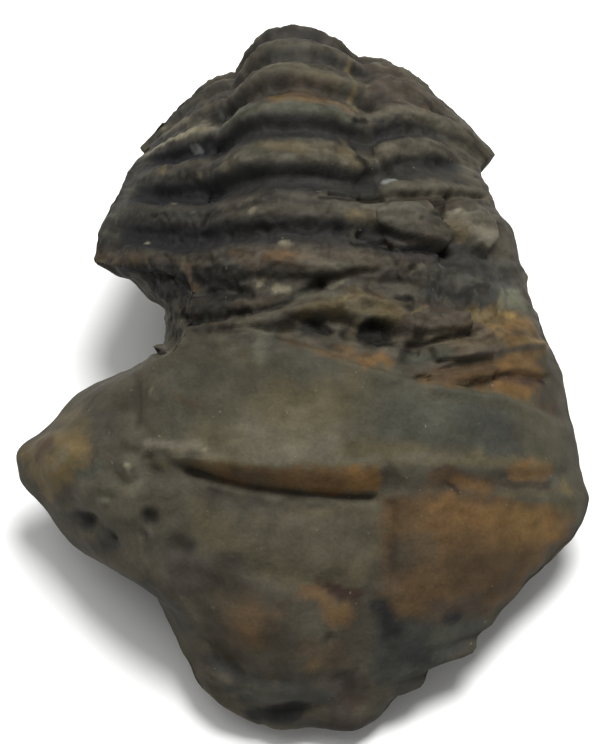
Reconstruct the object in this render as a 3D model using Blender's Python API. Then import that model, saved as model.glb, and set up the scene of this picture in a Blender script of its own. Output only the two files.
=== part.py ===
"""A half-rolled fossil trilobite with its worn head shield, lying on the broken rock inside it.

The fossil is one stone. Its back is a sheet laid over a midline that climbs from the front rim of
the head, over the thorax and down to the tail. Every cross-section has an axial lobe between two
furrows and a pleural lobe on each side. Rock fills the inside and is broken flat where it rests.

Lengths in the tables are millimetres. "along" is the distance run along the midline from the front
rim, and "across" is the distance from the midline, positive to the right seen from the head.
"around" runs round a cross-section: -1 to 1 is the axial lobe, 2 is the edge of the back, 3 is the
foot of the rock and 4 is the middle of its underside, with the left side negative.
Built on its own it stands on the origin, +Z up, with the head at -Y and the tail at +Y.
"""

import math

import bmesh
import bpy
import numpy as np
from mathutils import Vector, noise

MM = 0.001
NAME = "trilobite"
COLOUR = (0.075, 0.066, 0.052, 1.0)
ROUGHNESS = 0.62

# The midline: where it starts (y, z), and its slope in degrees by distance along it.
RIM_START = (-19.3, 0.5)
BODY_START = 1.3
BODY_END = 70.0
SLOPE = [
    (0, 82), (3, 68), (6.5, 52), (10, 42), (15, 31), (20, 22), (24.5, 18), (30, 17), (34, 16),
    (36.5, 14), (40.3, 6), (44.1, -4.5), (47.9, -16.5), (51.7, -30), (54.5, -49), (57, -66),
    (61, -78), (66, -86), (72, -92),
]

# How far the back reaches to each side of the midline. The left has the cheek's corner at 19.5,
# and at 27 the bite where the pleural ends are broken off.
REACH_LEFT = [
    (1.3, 2.2), (2, 3.9), (3.2, 5.5), (5, 6.4), (7, 7.5), (9, 8.7), (10.2, 10.3),
    (11.5, 12.7), (13.6, 14.7), (16.3, 16.4), (18.5, 17.6), (20, 17.8), (21.7, 16.3),
    (23, 14.9), (24.2, 13.4), (25.2, 10.3), (26.2, 8.4), (26.6, 8.2), (26.8, 8.8), (27.1, 8.1),
    (28.8, 8.2), (30.2, 9.4), (31.4, 11.5), (32.6, 13.6), (34.2, 13.1), (37.2, 12.2),
    (41, 11.1), (45, 10.4), (47.5, 9.9), (50, 9.7), (54, 10.4), (58, 9.5), (62, 8.0), (66, 5.8),
    (70, 2.0),
]
REACH_RIGHT = [
    (1.3, 6.2), (2.8, 7.8), (3.1, 8.7), (4.3, 9.4), (4.7, 11.0), (5.4, 12.3), (6.2, 12.5),
    (6.7, 13.4), (7.7, 14.2), (9.7, 16.1), (11.5, 18.1), (13.5, 19.4), (16.3, 20.2), (18, 19.7),
    (20, 19.4), (22.4, 19.2), (26, 18.4), (28, 17.8), (31.6, 16.4), (33.4, 16.0), (35.8, 15.7),
    (37.4, 14.5), (40, 13.8), (43.4, 13.6), (45.2, 13.9), (46.4, 14.4), (47.3, 14.6), (48.6, 14.4),
    (52, 13.7), (56, 12.4), (60, 10.8), (64, 8.6), (67, 6.0), (70, 2.4),
]

# The axial lobe: its furrows' distance from the midline, and the crest's height over them.
FURROW_LEFT = [
    (0, 1.0), (4, 3.0), (8, 4.8), (13, 7.6), (18, 8.5), (24, 8.7), (28, 6.6), (32, 5.8),
    (36, 5.2), (42, 4.5), (50, 3.5), (58, 3.2), (65, 2.5), (70, 1.2),
]
FURROW_RIGHT = [
    (0, 1.6), (4, 4.2), (8, 5.6), (13, 6.1), (20, 6.3), (24, 6.8), (27, 7.8), (30, 7.3),
    (33, 6.3), (36, 5.4), (42, 5.1), (50, 5.0), (58, 4.2), (65, 2.8), (70, 1.2),
]
CREST_LEFT = [
    (0, 0.3), (4, 0.9), (8, 1.6), (14, 1.9), (20, 1.7), (26, 1.7), (31, 2.4), (35, 3.1),
    (38, 3.5), (42, 3.4), (50, 3.2), (58, 2.9), (65, 2.1), (70, 0.6),
]
CREST_RIGHT = [
    (0, 0.3), (4, 0.9), (8, 1.5), (14, 1.5), (20, 1.1), (26, 1.1), (31, 1.4), (35, 1.7),
    (42, 2.0), (50, 2.0), (58, 2.0), (65, 1.8), (70, 0.6),
]
# How square the lobe is: above 1 its foot is soft, below 1 it stands in a groove.
LOBE_POWER = [(0, 2.0), (10, 1.7), (20, 1.3), (29, 1.1), (35, 1.0), (70, 1.0)]
# How high the pleural lobes bulge, and how steeply they leave the furrow: below 1 they stand in a
# groove beside the lobe, above 1 the cheek runs smoothly out of it.
PLEURAL_CROWN_LEFT = 0.15
PLEURAL_CROWN_RIGHT = 0.2
CROWN_POWER = [(0, 1.6), (24, 1.6), (30, 0.9), (35, 0.75), (70, 0.75)]

# The pleural lobes and cheeks: how far their ends lie below the furrow, how sharply they bend
# down (1 is straight), and how far the ends are swept towards the tail.
DROP_LEFT = [
    (0, 0.4), (4, 1.6), (8, 4.0), (14, 6.3), (20, 7.0), (26, 6.1), (32, 6.3), (38, 6.3), (50, 5.9),
    (60, 4.5), (70, 0.9),
]
DROP_RIGHT = [
    (0, 0.4), (4, 1.6), (8, 4.1), (14, 7.1), (20, 8.0), (26, 7.8), (32, 7.9), (38, 7.6), (50, 7.2),
    (60, 5.5), (70, 0.9),
]
BEND_LEFT = [(0, 1.5), (20, 1.7), (30, 1.4), (50, 1.3), (70, 1.4)]
BEND_RIGHT = [(0, 1.5), (20, 2.0), (30, 1.8), (50, 1.9), (70, 1.5)]
SWEEP_LEFT = [(0, 0), (10, 0.5), (20, 1.0), (30, 2.4), (40, 3.0), (50, 2.8), (60, 1.8), (70, 0)]
SWEEP_RIGHT = [(0, 0), (10, 0.5), (20, 1.0), (30, 1.8), (40, 2.4), (50, 2.4), (60, 1.8), (70, 0)]
SWEEP_BEND = 1.5

# The rock below: where its foot lies under each cross-section, and how far it reaches.
FOOT_Y = [
    (0, -17.9), (5, -14.4), (10, -9.4), (15, -5.0), (20, -1.0), (25, 4.0), (30, 9.0), (35, 13.0),
    (40, 16.5), (45, 19.0), (50, 21.0), (55, 23.0), (60, 25.0), (65, 27.0), (70, 28.8),
]
FOOT_LEFT = [
    (0, 1.6), (5, 4.6), (10, 6.6), (15, 9.6), (20, 11.4), (25, 9.6), (29, 6.8), (32, 6.2),
    (36, 7.0), (42, 7.6), (50, 7.3), (58, 6.4), (65, 4.4), (70, 1.6),
]
FOOT_RIGHT = [
    (0, 3.4), (5, 8.2), (10, 12.0), (15, 14.4), (20, 15.0), (28, 14.2), (36, 12.2), (44, 11.2),
    (52, 10.4), (60, 8.2), (65, 5.8), (70, 2.0),
]
# Over how much of the lobe the foot's pull on the back grows from the midline.
MIDDLE_SHARE = 0.25
FOOT_RISE = 0.7
FOOT_DIP = 1.5
UNDERCUT = (-0.1, 0.6)

# The thorax: the furrows between its rings on the lobe and on each side, as distances along the
# body, and the relief of one ring from the furrow on its head side to the next. A lobe ring rises
# steeply out of its furrow and sinks slowly towards the tail; a pleural rib is even-sided.
RING_FURROWS = [
    27.4, 30.9, 34.2, 38.0, 41.9, 45.5, 49.0, 52.3, 55.6, 58.9, 61.9, 64.5, 66.8, 68.8,
]
LEFT_FURROWS = [
    27.4, 31.4, 34.9, 38.6, 42.95, 46.6, 50.1, 53.3, 56.5, 59.4, 62.1, 64.6, 66.8, 68.8,
]
RIGHT_FURROWS = [
    26.7, 30.8, 34.0, 39.3, 42.5, 45.8, 49.2, 52.6, 55.9, 59.0, 61.9, 64.5, 66.8, 68.8,
]
# Where round a cross-section the ribs fade out.
RELIEF_END = (1.55, 1.98)
# Where the lobe's rings give way to the ribs.
LOBE_EDGE = (0.85, 1.2)
# How far the furrows run towards the tail between the lobe's crest and its side.
LOBE_SKEW_LEFT, LOBE_SKEW_RIGHT = 0.6, 0.4
# How far the right furrows run towards the tail between the axial furrow and the edge.
RIGHT_SKEW = [
    (26, -2.2), (30.8, -2.2), (34, -1.2), (37, 0.8), (39.3, 2.0), (42.5, 2.8), (60, 2.0), (70, 0),
]
RING_PROFILE = [
    (0.0, -1.0), (0.08, -0.92), (0.2, -0.3), (0.3, 0.0), (0.38, 0.07), (0.5, 0.0), (0.65, -0.2),
    (0.8, -0.45), (0.9, -0.75), (1.0, -1.0),
]
RIB_PROFILE = [
    (0.0, -1.0), (0.12, -0.86), (0.26, -0.32), (0.42, 0.0), (0.52, 0.06), (0.64, 0.0), (0.78, -0.3),
    (0.9, -0.82), (1.0, -1.0),
]
AXIAL_RELIEF = [(27, 0.0), (29, 0.5), (35, 0.8), (38, 0.95), (45, 0.9), (50, 0.7), (60, 0.55), (69, 0.2)]
LEFT_RELIEF = [
    (26.5, 0.0), (28.5, 0.4), (32, 0.6), (35, 0.8), (39, 1.0), (43, 0.9), (46.5, 0.4), (50, 0.3),
    (60, 0.4), (69, 0.2),
]
RIGHT_RELIEF = [
    (26.5, 0.0), (28.5, 0.4), (34, 0.6), (39.5, 0.8), (42.6, 0.8), (45.8, 0.45), (49, 0.25),
    (60, 0.4), (69, 0.2),
]

# Steps in the back: the line of each step's foot as (across, along, run of its face), the height of
# its head side and of its tail side, and how far the surface takes to come back to its form.
STEPS = {
    "rear edge of the head": (
        [(-9, 26.0, 0.7), (-7.8, 26.0, 0.7), (-6.2, 26.6, 0.7), (-4.4, 27.3, 0.7), (-2.2, 27.5, 0.7),
         (0.3, 26.7, 0.7), (2.8, 25.7, 0.7), (5.9, 24.9, 0.7), (8.8, 24.2, 0.7), (13.6, 23.4, 0.7),
         (18.3, 22.2, 0.7)],
        0.45, -0.45, 4.0,
    ),
    "ledge across the head": (
        [(-9, 19.6, 0.6), (-6.1, 19.2, 0.6), (-4.0, 18.5, 1.2), (-2.1, 18.0, 1.4), (0.9, 17.5, 1.6),
         (3.4, 17.3, 2.0), (5.3, 17.2, 2.2), (5.9, 17.5, 1.9), (9, 17.8, 1.5), (13.6, 18.1, 1.0),
         (20, 18.5, 0.8)],
        -1.0, 0.0, 7.0,
    ),
}
REAR_SPAN = [(-9, 0.6), (-7, 1.0), (12, 1.0), (16.5, 0.5), (18.5, 0.1)]
LEDGE_SPAN = [
    (-9, 0.0), (-7, 0.35), (-5.6, 1.0), (5.2, 1.0), (6.8, 0.4), (13, 0.35), (17.5, 0.2), (19, 0.0),
]

# Raised and sunk patches: (along, across), half-lengths along and across, height, and the share of
# the half-length that the slope at its rim takes.
PATCHES = [
    ((19.7, -14.4), (2.4, 2.4), 0.7, 1.0),
    ((19.2, -9.7), (1.2, 1.0), 0.4, 0.9),
    ((18.0, -11.5), (1.1, 1.1), 0.4, 0.9),
    ((15.8, -8.3), (1.1, 0.9), -0.6, 1.0),
    ((13.9, -6.6), (1.1, 1.1), -0.45, 1.0),
    ((15.0, -12.2), (1.4, 2.2), -0.35, 1.0),
    ((17.5, -12.6), (1.3, 1.2), 0.3, 1.0),
    ((8.9, -2.4), (3.0, 4.2), 0.7, 1.0),
    ((3.1, 0.3), (1.0, 3.2), -0.5, 1.0),
    ((1.7, 3.8), (2.2, 3.2), 0.7, 1.0),
]

# Flakes and hollows with broken outlines, as (along, across): height, and how wide their rim is.
PLATES = [
    # the grey flake and the beige one, on the right ribs
    ([(36.2, 4.4), (36.5, 5.6), (37.0, 6.6), (37.0, 8.3), (36.1, 9.4), (35.6, 10.5), (34.8, 11.2),
      (33.7, 11.1), (33.9, 9.2), (34.3, 7.3), (34.8, 6.2), (35.3, 5.2)], 0.3, 0.35),
    ([(36.9, 10.5), (36.4, 11.8), (36.9, 13.1), (36.0, 14.0), (34.5, 14.3), (33.3, 13.2), (33.7, 12.4),
      (34.6, 11.8), (35.8, 11.2)], 0.45, 0.35),
    # the rib broken away behind them
    ([(37.4, 8.9), (37.3, 10.2), (36.5, 11.5), (35.4, 11.5), (35.8, 10.6), (36.3, 9.6)], -0.7, 0.3),
    # the two hollows under the arch
    ([(28.5, 0.7), (28.7, 1.8), (27.8, 2.8), (27.3, 2.4), (27.8, 1.2)], -0.9, 0.5),
    ([(28.3, 3.6), (29.0, 5.6), (28.7, 6.9), (27.0, 7.1), (26.7, 5.5), (27.5, 3.9)], -1.2, 0.7),
    # the broken plates right of them
    ([(29.2, 7.6), (29.3, 11.6), (27.9, 11.9), (27.8, 7.8)], 0.3, 0.3),
    ([(27.2, 8.6), (27.3, 13.0), (26.2, 13.3), (25.9, 9.2)], 0.3, 0.3),
    ([(25.3, 8.2), (25.8, 12.4), (25.8, 13.7), (24.9, 13.4), (24.4, 11.0), (24.2, 9.2)], 0.2, 0.3),
]

# Ridges and cracks: their route as (along, across), height and half-width.
LINES = [
    # the arch, and the dark cleft left of it
    ([(28.4, -0.6), (29.2, 1.0), (29.6, 2.8), (30.0, 4.4), (29.9, 5.8), (29.3, 7.0), (28.0, 7.7)],
     0.5, 0.5),
    ([(29.2, -6.4), (29.1, -4.5), (29.0, -2.4), (29.1, -1.2), (29.5, -0.2), (30.2, 0.7), (31.0, 1.8)],
     -0.6, 0.35),
    # the hole in the axial furrow
    ([(41.3, 4.8), (40.9, 5.4), (40.2, 6.0), (39.6, 6.9)], -0.6, 0.4),
    # the cheek's crack, and the one beside the grey flake
    ([(24.4, -9.1), (23.3, -9.0), (22.1, -8.9)], -0.25, 0.45),
    ([(37.6, 11.0), (35.5, 10.9), (34.4, 11.4), (32.8, 10.4)], -0.7, 0.4),
    ([(37.3, 5.0), (37.4, 8.0), (37.9, 11.0), (38.6, 13.5)], -0.5, 0.35),
    # under the ledge
    ([(19.0, -5.8), (18.4, -4.0), (17.9, -2.1), (17.4, 0.9), (17.2, 3.4), (17.1, 5.2)], -0.55, 0.28),
    # the front's shallow steps, and the furrow behind its rim
    ([(12.6, -2.8), (12.0, 0.8), (11.6, 2.8), (10.9, 4.6)], -0.3, 0.8),
    ([(7.6, -5.0), (6.0, -3.9), (5.3, -2.5), (5.2, -0.6), (5.0, 1.3), (4.9, 3.2)], -0.3, 0.6),
]

# Lumps of broken rock: their size and height on the back, on the worn rings and on the sides.
LUMP_SIZE = 3.5
BACK_LUMPS, WORN_LUMPS, SIDE_LUMPS = 0.22, 0.5, 1.1
WORN = (27, 36)

# How finely the solid is divided, and where the middle of its box lies.
ROW_GAP_HEAD = 1.05
LEDGE_ROWS = [17.2, 17.9, 18.8]
RING_ROWS = [0.0, 0.16, 0.32, 0.62, 0.86]
AXIAL_FACES, PLEURAL_FACES, SIDE_FACES, UNDER_FACES = 12, 12, 4, 3
BOX_MIDDLE = (1.2, 5.5)


def smooth_table(table, at):
    """The table's value at each place, on a smooth curve that never swings past its points."""
    xs, ys = (np.array(column, float) for column in zip(*table))
    step = np.diff(xs)
    slope = np.diff(ys) / step
    tangent = np.zeros_like(ys)
    tangent[0], tangent[-1] = slope[0], slope[-1]
    for i in range(1, len(xs) - 1):
        if slope[i - 1] * slope[i] > 0:
            before, after = 2 * step[i] + step[i - 1], step[i] + 2 * step[i - 1]
            tangent[i] = (before + after) / (before / slope[i - 1] + after / slope[i])
    at = np.clip(at, xs[0], xs[-1])
    i = np.clip(np.searchsorted(xs, at, side="right") - 1, 0, len(xs) - 2)
    t = (at - xs[i]) / step[i]
    return (
        (2 * t**3 - 3 * t**2 + 1) * ys[i]
        + (t**3 - 2 * t**2 + t) * step[i] * tangent[i]
        + (3 * t**2 - 2 * t**3) * ys[i + 1]
        + (t**3 - t**2) * step[i] * tangent[i + 1]
    )


def ease(low, high, value):
    """0 below low, 1 above high, and a smooth rise between them."""
    t = np.clip((value - low) / (high - low), 0, 1)
    return t * t * (3 - 2 * t)


def rock_noise(points, size, octaves, seed):
    """Smooth noise of about -1 to 1, whose largest lumps measure about size."""
    places = points / size + seed * 17.3
    return np.array([noise.fractal(Vector(p), 1.0, 2.0, octaves) for p in places])


def midline(along):
    """The midline's y, z and slope at each distance along it."""
    fine = np.linspace(0, BODY_END, 1401)
    slope = np.radians(smooth_table(SLOPE, fine))
    middle = (slope[1:] + slope[:-1]) / 2
    y = RIM_START[0] + np.concatenate([[0], np.cumsum(np.cos(middle))]) * fine[1]
    z = RIM_START[1] + np.concatenate([[0], np.cumsum(np.sin(middle))]) * fine[1]
    return np.interp(along, fine, y), np.interp(along, fine, z), np.interp(along, fine, slope)


def sided(left_table, right_table, along, around):
    """The left or the right table's value, by the side that each place is on."""
    return np.where(around < 0, smooth_table(left_table, along), smooth_table(right_table, along))


def across_at(along, around):
    """How far from the midline each place on the back lies."""
    furrow = sided(FURROW_LEFT, FURROW_RIGHT, along, around)
    reach = sided(REACH_LEFT, REACH_RIGHT, along, around)
    out = np.clip(np.abs(around) - 1, 0, 1)
    return np.sign(around) * np.where(
        np.abs(around) < 1, np.abs(around) * furrow, furrow + out * (reach - furrow)
    )


def bare_form(along, around):
    """The stone's smooth form, before its rings, ledges and lumps."""
    y, z, slope = midline(along)
    crest = sided(CREST_LEFT, CREST_RIGHT, along, around)
    crown = np.where(around < 0, PLEURAL_CROWN_LEFT, PLEURAL_CROWN_RIGHT)
    axial = np.clip(np.abs(around), 0, 1)
    out = np.clip(np.abs(around) - 1, 0, 1)
    drop = sided(DROP_LEFT, DROP_RIGHT, along, around)
    bend = sided(BEND_LEFT, BEND_RIGHT, along, around)
    rise = crest * ((1 - axial**2) ** smooth_table(LOBE_POWER, along) - 1)
    rise += crown * np.sin(math.pi * out ** smooth_table(CROWN_POWER, along)) - drop * out**bend
    sweep = sided(SWEEP_LEFT, SWEEP_RIGHT, along, around) * out**SWEEP_BEND
    back = np.stack([
        across_at(along, around),
        y - rise * np.sin(slope) + sweep * np.cos(slope),
        z + rise * np.cos(slope) + sweep * np.sin(slope),
    ], -1)

    foot_x = np.clip(around / MIDDLE_SHARE, -1, 1) * sided(FOOT_LEFT, FOOT_RIGHT, along, around)
    foot_y = smooth_table(FOOT_Y, along)
    down = np.clip(np.abs(around) - 2, 0, 1)
    under = np.clip(np.abs(around) - 3, 0, 1)
    inward = ease(*UNDERCUT, down)
    x = back[..., 0] + (foot_x - back[..., 0]) * inward
    low = FOOT_RISE - (FOOT_RISE + FOOT_DIP) * ease(0, 0.5, under)
    return np.stack([
        x * (1 - under),
        back[..., 1] + (foot_y - back[..., 1]) * down,
        np.where(down < 1, back[..., 2] + (FOOT_RISE - back[..., 2]) * down, low),
    ], -1)


def ring_share(along, around):
    """Each place's share of the way through its ring or rib, and how deep the relief is there."""
    out = np.clip(np.abs(around) - 1, 0, 1)
    lobe = ease(*LOBE_EDGE, np.abs(around))
    count = range(len(RING_FURROWS))
    skewed = along - smooth_table(RIGHT_SKEW, along) * out
    pleural = np.where(
        around < 0, np.interp(along, LEFT_FURROWS, count), np.interp(skewed, RIGHT_FURROWS, count)
    )
    side = np.where(around < 0, LOBE_SKEW_LEFT, LOBE_SKEW_RIGHT) * np.clip(np.abs(around), 0, 1.2) ** 2
    ring = np.interp(along - side, RING_FURROWS, count) * (1 - lobe) + pleural * lobe
    depth = smooth_table(AXIAL_RELIEF, along) * (1 - lobe)
    depth += sided(LEFT_RELIEF, RIGHT_RELIEF, along, around) * lobe
    fade = (1 - ease(*RELIEF_END, np.abs(around))) * (1 - 0.5 * out * ease(50, 56, along))
    return ring - np.floor(ring), depth * fade


def ring_relief(along, around):
    """The thorax's rings: furrows, rings and ribs, in millimetres out from the form."""
    share, depth = ring_share(along, around)
    lobe = ease(*LOBE_EDGE, np.abs(around))
    profile = smooth_table(RING_PROFILE, share) * (1 - lobe) + smooth_table(RIB_PROFILE, share) * lobe
    return depth * profile


def outward_normals(points):
    """The direction out of the stone at each point of a grid of closed cross-sections."""
    along = np.gradient(points, axis=0)
    around = np.roll(points, -1, axis=1) - np.roll(points, 1, axis=1)
    normal = np.cross(around, along)
    return normal / np.maximum(np.linalg.norm(normal, axis=-1, keepdims=True), 1e-9)


def step_relief(along, across, foot, head_side, tail_side, fade):
    """A step across the back, which sinks back to the form on both sides of its face."""
    xs, places, runs = zip(*foot)
    beyond = along - np.interp(across, xs, places)
    over = ease(0, np.interp(across, xs, runs), beyond)
    return (head_side + (tail_side - head_side) * over) * np.exp(-np.abs(beyond) / fade)


def distance_to(along, across, start, end):
    """How far each place is from the straight line between two places."""
    run, over = end[0] - start[0], end[1] - start[1]
    t = ((along - start[0]) * run + (across - start[1]) * over) / max(run**2 + over**2, 1e-9)
    t = np.clip(t, 0, 1)
    return np.hypot(along - start[0] - t * run, across - start[1] - t * over)


def patch_relief(along, across, at, half, height, rim):
    """A raised or sunk oval patch."""
    reach = np.hypot((along - at[0]) / half[0], (across - at[1]) / half[1])
    return height * (1 - ease(1 - rim, 1, reach))


def plate_cover(along, across, outline, rim):
    """How far each place is covered by a flake or a hollow with a straight-sided outline."""
    inside = np.zeros(along.shape, bool)
    nearest = np.full(along.shape, np.inf)
    for (a0, x0), (a1, x1) in zip(outline, outline[1:] + outline[:1]):
        slant = (a1 - a0) / (x1 - x0) if x1 != x0 else 0.0
        inside ^= ((x0 > across) != (x1 > across)) & (along < a0 + slant * (across - x0))
        nearest = np.minimum(nearest, distance_to(along, across, (a0, x0), (a1, x1)))
    return ease(0, rim, nearest) * inside


def line_relief(along, across, route, height, half_width):
    """A ridge or a crack along a route."""
    nearest = np.full(along.shape, np.inf)
    for start, end in zip(route, route[1:]):
        nearest = np.minimum(nearest, distance_to(along, across, start, end))
    return height * np.exp(-((nearest / half_width) ** 2))


def broken_relief(along, around, rings):
    """The back's rings with its ledges, flakes, knobs, pits and cracks."""
    across = across_at(along, around)
    rear = step_relief(along, across, *STEPS["rear edge of the head"])
    relief = rings + rear * smooth_table(REAR_SPAN, across)
    ledge = step_relief(along, across, *STEPS["ledge across the head"])
    relief += ledge * smooth_table(LEDGE_SPAN, across)
    for outline, height, rim in PLATES:
        relief += (height - relief) * plate_cover(along, across, outline, rim)
    for patch in PATCHES:
        relief += patch_relief(along, across, *patch)
    for line in LINES:
        relief += line_relief(along, across, *line)
    back = 1 - ease(1.95, 2.25, np.abs(around))
    return rings + (relief - rings) * back


def lumps(points, along, around):
    """Uneven rock: slight on the back, rough where the rings are worn, and broken on the sides."""
    noise_here = rock_noise(points.reshape(-1, 3), LUMP_SIZE, 3, 1).reshape(along.shape)
    side = ease(1.9, 2.4, np.abs(around))
    worn = ease(WORN[0] - 2, WORN[0], along) * (1 - ease(WORN[1] - 3, WORN[1], along))
    height = BACK_LUMPS + (WORN_LUMPS - BACK_LUMPS) * worn
    return noise_here * (height * (1 - side) + SIDE_LUMPS * side * ease(0, 6, along))


def rows():
    """The distances along the body where the cross-sections stand."""
    head = np.arange(BODY_START, RING_FURROWS[0] - ROW_GAP_HEAD / 2, ROW_GAP_HEAD)
    head = np.sort(np.concatenate([head, LEDGE_ROWS]))
    thorax = [
        a + share * (b - a) for a, b in zip(RING_FURROWS, RING_FURROWS[1:]) for share in RING_ROWS
    ]
    return np.concatenate([head, thorax, [RING_FURROWS[-1], BODY_END]])


def columns():
    """The places round a cross-section, from the underside's middle over the back and round."""
    right = np.concatenate([
        np.linspace(0, 1, AXIAL_FACES // 2 + 1),
        np.linspace(1, 2, PLEURAL_FACES + 1)[1:],
        np.linspace(2, 3, SIDE_FACES + 1)[1:],
        np.linspace(3, 4, UNDER_FACES + 1)[1:],
    ])
    return np.concatenate([-right[:0:-1], right[:-1]])


def stone_points(along, around):
    """The stone's surface as a grid of points, one row to a cross-section, in millimetres."""
    form = bare_form(along, around)
    relief = broken_relief(along, around, ring_relief(along, around)) + lumps(form, along, around)
    return form + outward_normals(form) * relief[..., None] - np.array([*BOX_MIDDLE, 0.0])


def stone_mesh(points):
    """The closed solid over the grid, cut flat where it rests."""
    body = bmesh.new()
    rings = [[body.verts.new(p * MM) for p in row] for row in points]
    for near, far in zip(rings, rings[1:]):
        for i in range(len(near)):
            j = (i + 1) % len(near)
            body.faces.new((near[i], near[j], far[j], far[i]))
    body.faces.new(rings[0][::-1])
    body.faces.new(rings[-1])
    bmesh.ops.triangulate(body, faces=body.faces[:])
    everything = body.verts[:] + body.edges[:] + body.faces[:]
    cut = bmesh.ops.bisect_plane(
        body, geom=everything, dist=1e-6, plane_co=(0, 0, 0), plane_no=(0, 0, 1), clear_inner=True
    )
    rim = [e for e in cut["geom_cut"] if isinstance(e, bmesh.types.BMEdge)]
    bmesh.ops.triangle_fill(body, use_beauty=True, edges=rim)
    bmesh.ops.triangulate(body, faces=[f for f in body.faces if len(f.verts) > 3])
    bmesh.ops.recalc_face_normals(body, faces=body.faces[:])
    mesh = bpy.data.meshes.new(NAME)
    body.to_mesh(mesh)
    body.free()
    return mesh


def stone_material():
    material = bpy.data.materials.new("fossil stone")
    material.use_nodes = True
    shader = material.node_tree.nodes["Principled BSDF"]
    shader.inputs["Base Color"].default_value = COLOUR
    shader.inputs["Roughness"].default_value = ROUGHNESS
    return material


def main():
    for old in list(bpy.data.objects):
        bpy.data.objects.remove(old)
    along, around = np.meshgrid(rows(), columns(), indexing="ij")
    mesh = stone_mesh(stone_points(along, around))
    mesh.materials.append(stone_material())
    mesh.shade_smooth()
    mesh.set_sharp_from_angle(angle=math.radians(40))
    bpy.context.collection.objects.link(bpy.data.objects.new(NAME, mesh))


main()
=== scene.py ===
"""The looks of the half-rolled fossil trilobite: its broken stone surface and its stained colours.

The stone's form follows the same midline, reaches and furrows as the solid that the frame holds,
drawn much finer. On that form lie the rings' lips, the flakes, pits, cracks and crumbly rock, and
every point carries the tint that its place shows. Some tints are partly or wholly painted shade,
shadow or sheen: in the furrows, below the ledge, under the grey flake, in the hollows under the
arch and over the left pleura. Noise in the material adds mottling, grain and pale specks.

Lengths are millimetres until the mesh is made. "along" is the distance run along the midline from
the front rim. "across" is the distance from the midline, positive to the right seen from the head.
"around" runs round a cross-section: -1 to 1 is the axial lobe, 2 is the edge of the back, 3 is the
foot of the rock and 4 is the middle of its underside, with the left side negative. A place in the
camera's frame is "x,y", in pixels to the right and down.
"""

import math

import bpy
import numpy as np
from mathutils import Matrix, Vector, noise


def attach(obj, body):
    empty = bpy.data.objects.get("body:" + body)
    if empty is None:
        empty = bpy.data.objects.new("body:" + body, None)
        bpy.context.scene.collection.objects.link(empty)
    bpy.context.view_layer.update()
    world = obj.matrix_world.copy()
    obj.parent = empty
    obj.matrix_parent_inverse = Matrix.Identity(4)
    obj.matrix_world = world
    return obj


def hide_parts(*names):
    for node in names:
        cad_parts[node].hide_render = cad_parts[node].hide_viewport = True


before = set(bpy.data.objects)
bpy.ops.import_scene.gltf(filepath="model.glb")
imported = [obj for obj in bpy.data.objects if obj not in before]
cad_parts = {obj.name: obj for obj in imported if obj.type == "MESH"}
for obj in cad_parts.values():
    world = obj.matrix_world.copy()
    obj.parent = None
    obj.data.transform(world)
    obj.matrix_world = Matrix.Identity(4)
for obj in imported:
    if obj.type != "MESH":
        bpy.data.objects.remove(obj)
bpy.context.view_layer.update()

MM = 0.001
NODE = "trilobite"
# The least length that is divided by.
TINY = 1e-9

# --- The form: the solid's own tables, which the frame's box is made of ---
# The midline: where its front rim is as (y, z), where the body starts and ends along it, and its
# slope in degrees. It is added up from so many points.
RIM_START = (-19.3, 0.5)
BODY_START = 1.3
BODY_END = 70.0
MIDLINE_POINTS = 1401
SLOPE = [
    (0, 82), (3, 68), (6.5, 52), (10, 42), (15, 31), (20, 22), (24.5, 18), (30, 17), (34, 16),
    (36.5, 14), (40.3, 6), (44.1, -4.5), (47.9, -16.5), (51.7, -30), (54.5, -49), (57, -66),
    (61, -78), (66, -86), (72, -92),
]

# How far the back reaches to each side of the midline. The left has the cheek's corner at 19.5,
# and at 27 the bite where the pleural ends are broken off.
REACH_LEFT = [
    (1.3, 2.2), (2, 3.9), (3.2, 5.5), (5, 6.4), (7, 7.5), (9, 8.7), (10.2, 10.3),
    (11.5, 12.7), (13.6, 14.7), (16.3, 16.4), (18.5, 17.6), (20, 17.8), (21.7, 16.3),
    (23, 14.9), (24.2, 13.4), (25.2, 10.3), (26.2, 8.4), (26.6, 8.2), (26.8, 8.8), (27.1, 8.1),
    (28.8, 8.2), (30.2, 9.4), (31.4, 11.5), (32.6, 13.6), (34.2, 13.1), (37.2, 12.2),
    (41, 11.1), (45, 10.4), (47.5, 9.9), (50, 9.7), (54, 10.4), (58, 9.5), (62, 8.0), (66, 5.8),
    (70, 2.0),
]
REACH_RIGHT = [
    (1.3, 6.2), (2.8, 7.8), (3.1, 8.7), (4.3, 9.4), (4.7, 11.0), (5.4, 12.3), (6.2, 12.5),
    (6.7, 13.4), (7.7, 14.2), (9.7, 16.1), (11.5, 18.1), (13.5, 19.4), (16.3, 20.2), (18, 19.7),
    (20, 19.4), (22.4, 19.2), (26, 18.4), (28, 17.8), (31.6, 16.4), (33.4, 16.0), (35.8, 15.7),
    (37.4, 14.5), (40, 13.8), (43.4, 13.6), (45.2, 13.9), (46.4, 14.4), (47.3, 14.6), (48.6, 14.4),
    (52, 13.7), (56, 12.4), (60, 10.8), (64, 8.6), (67, 6.0), (70, 2.4),
]

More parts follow.
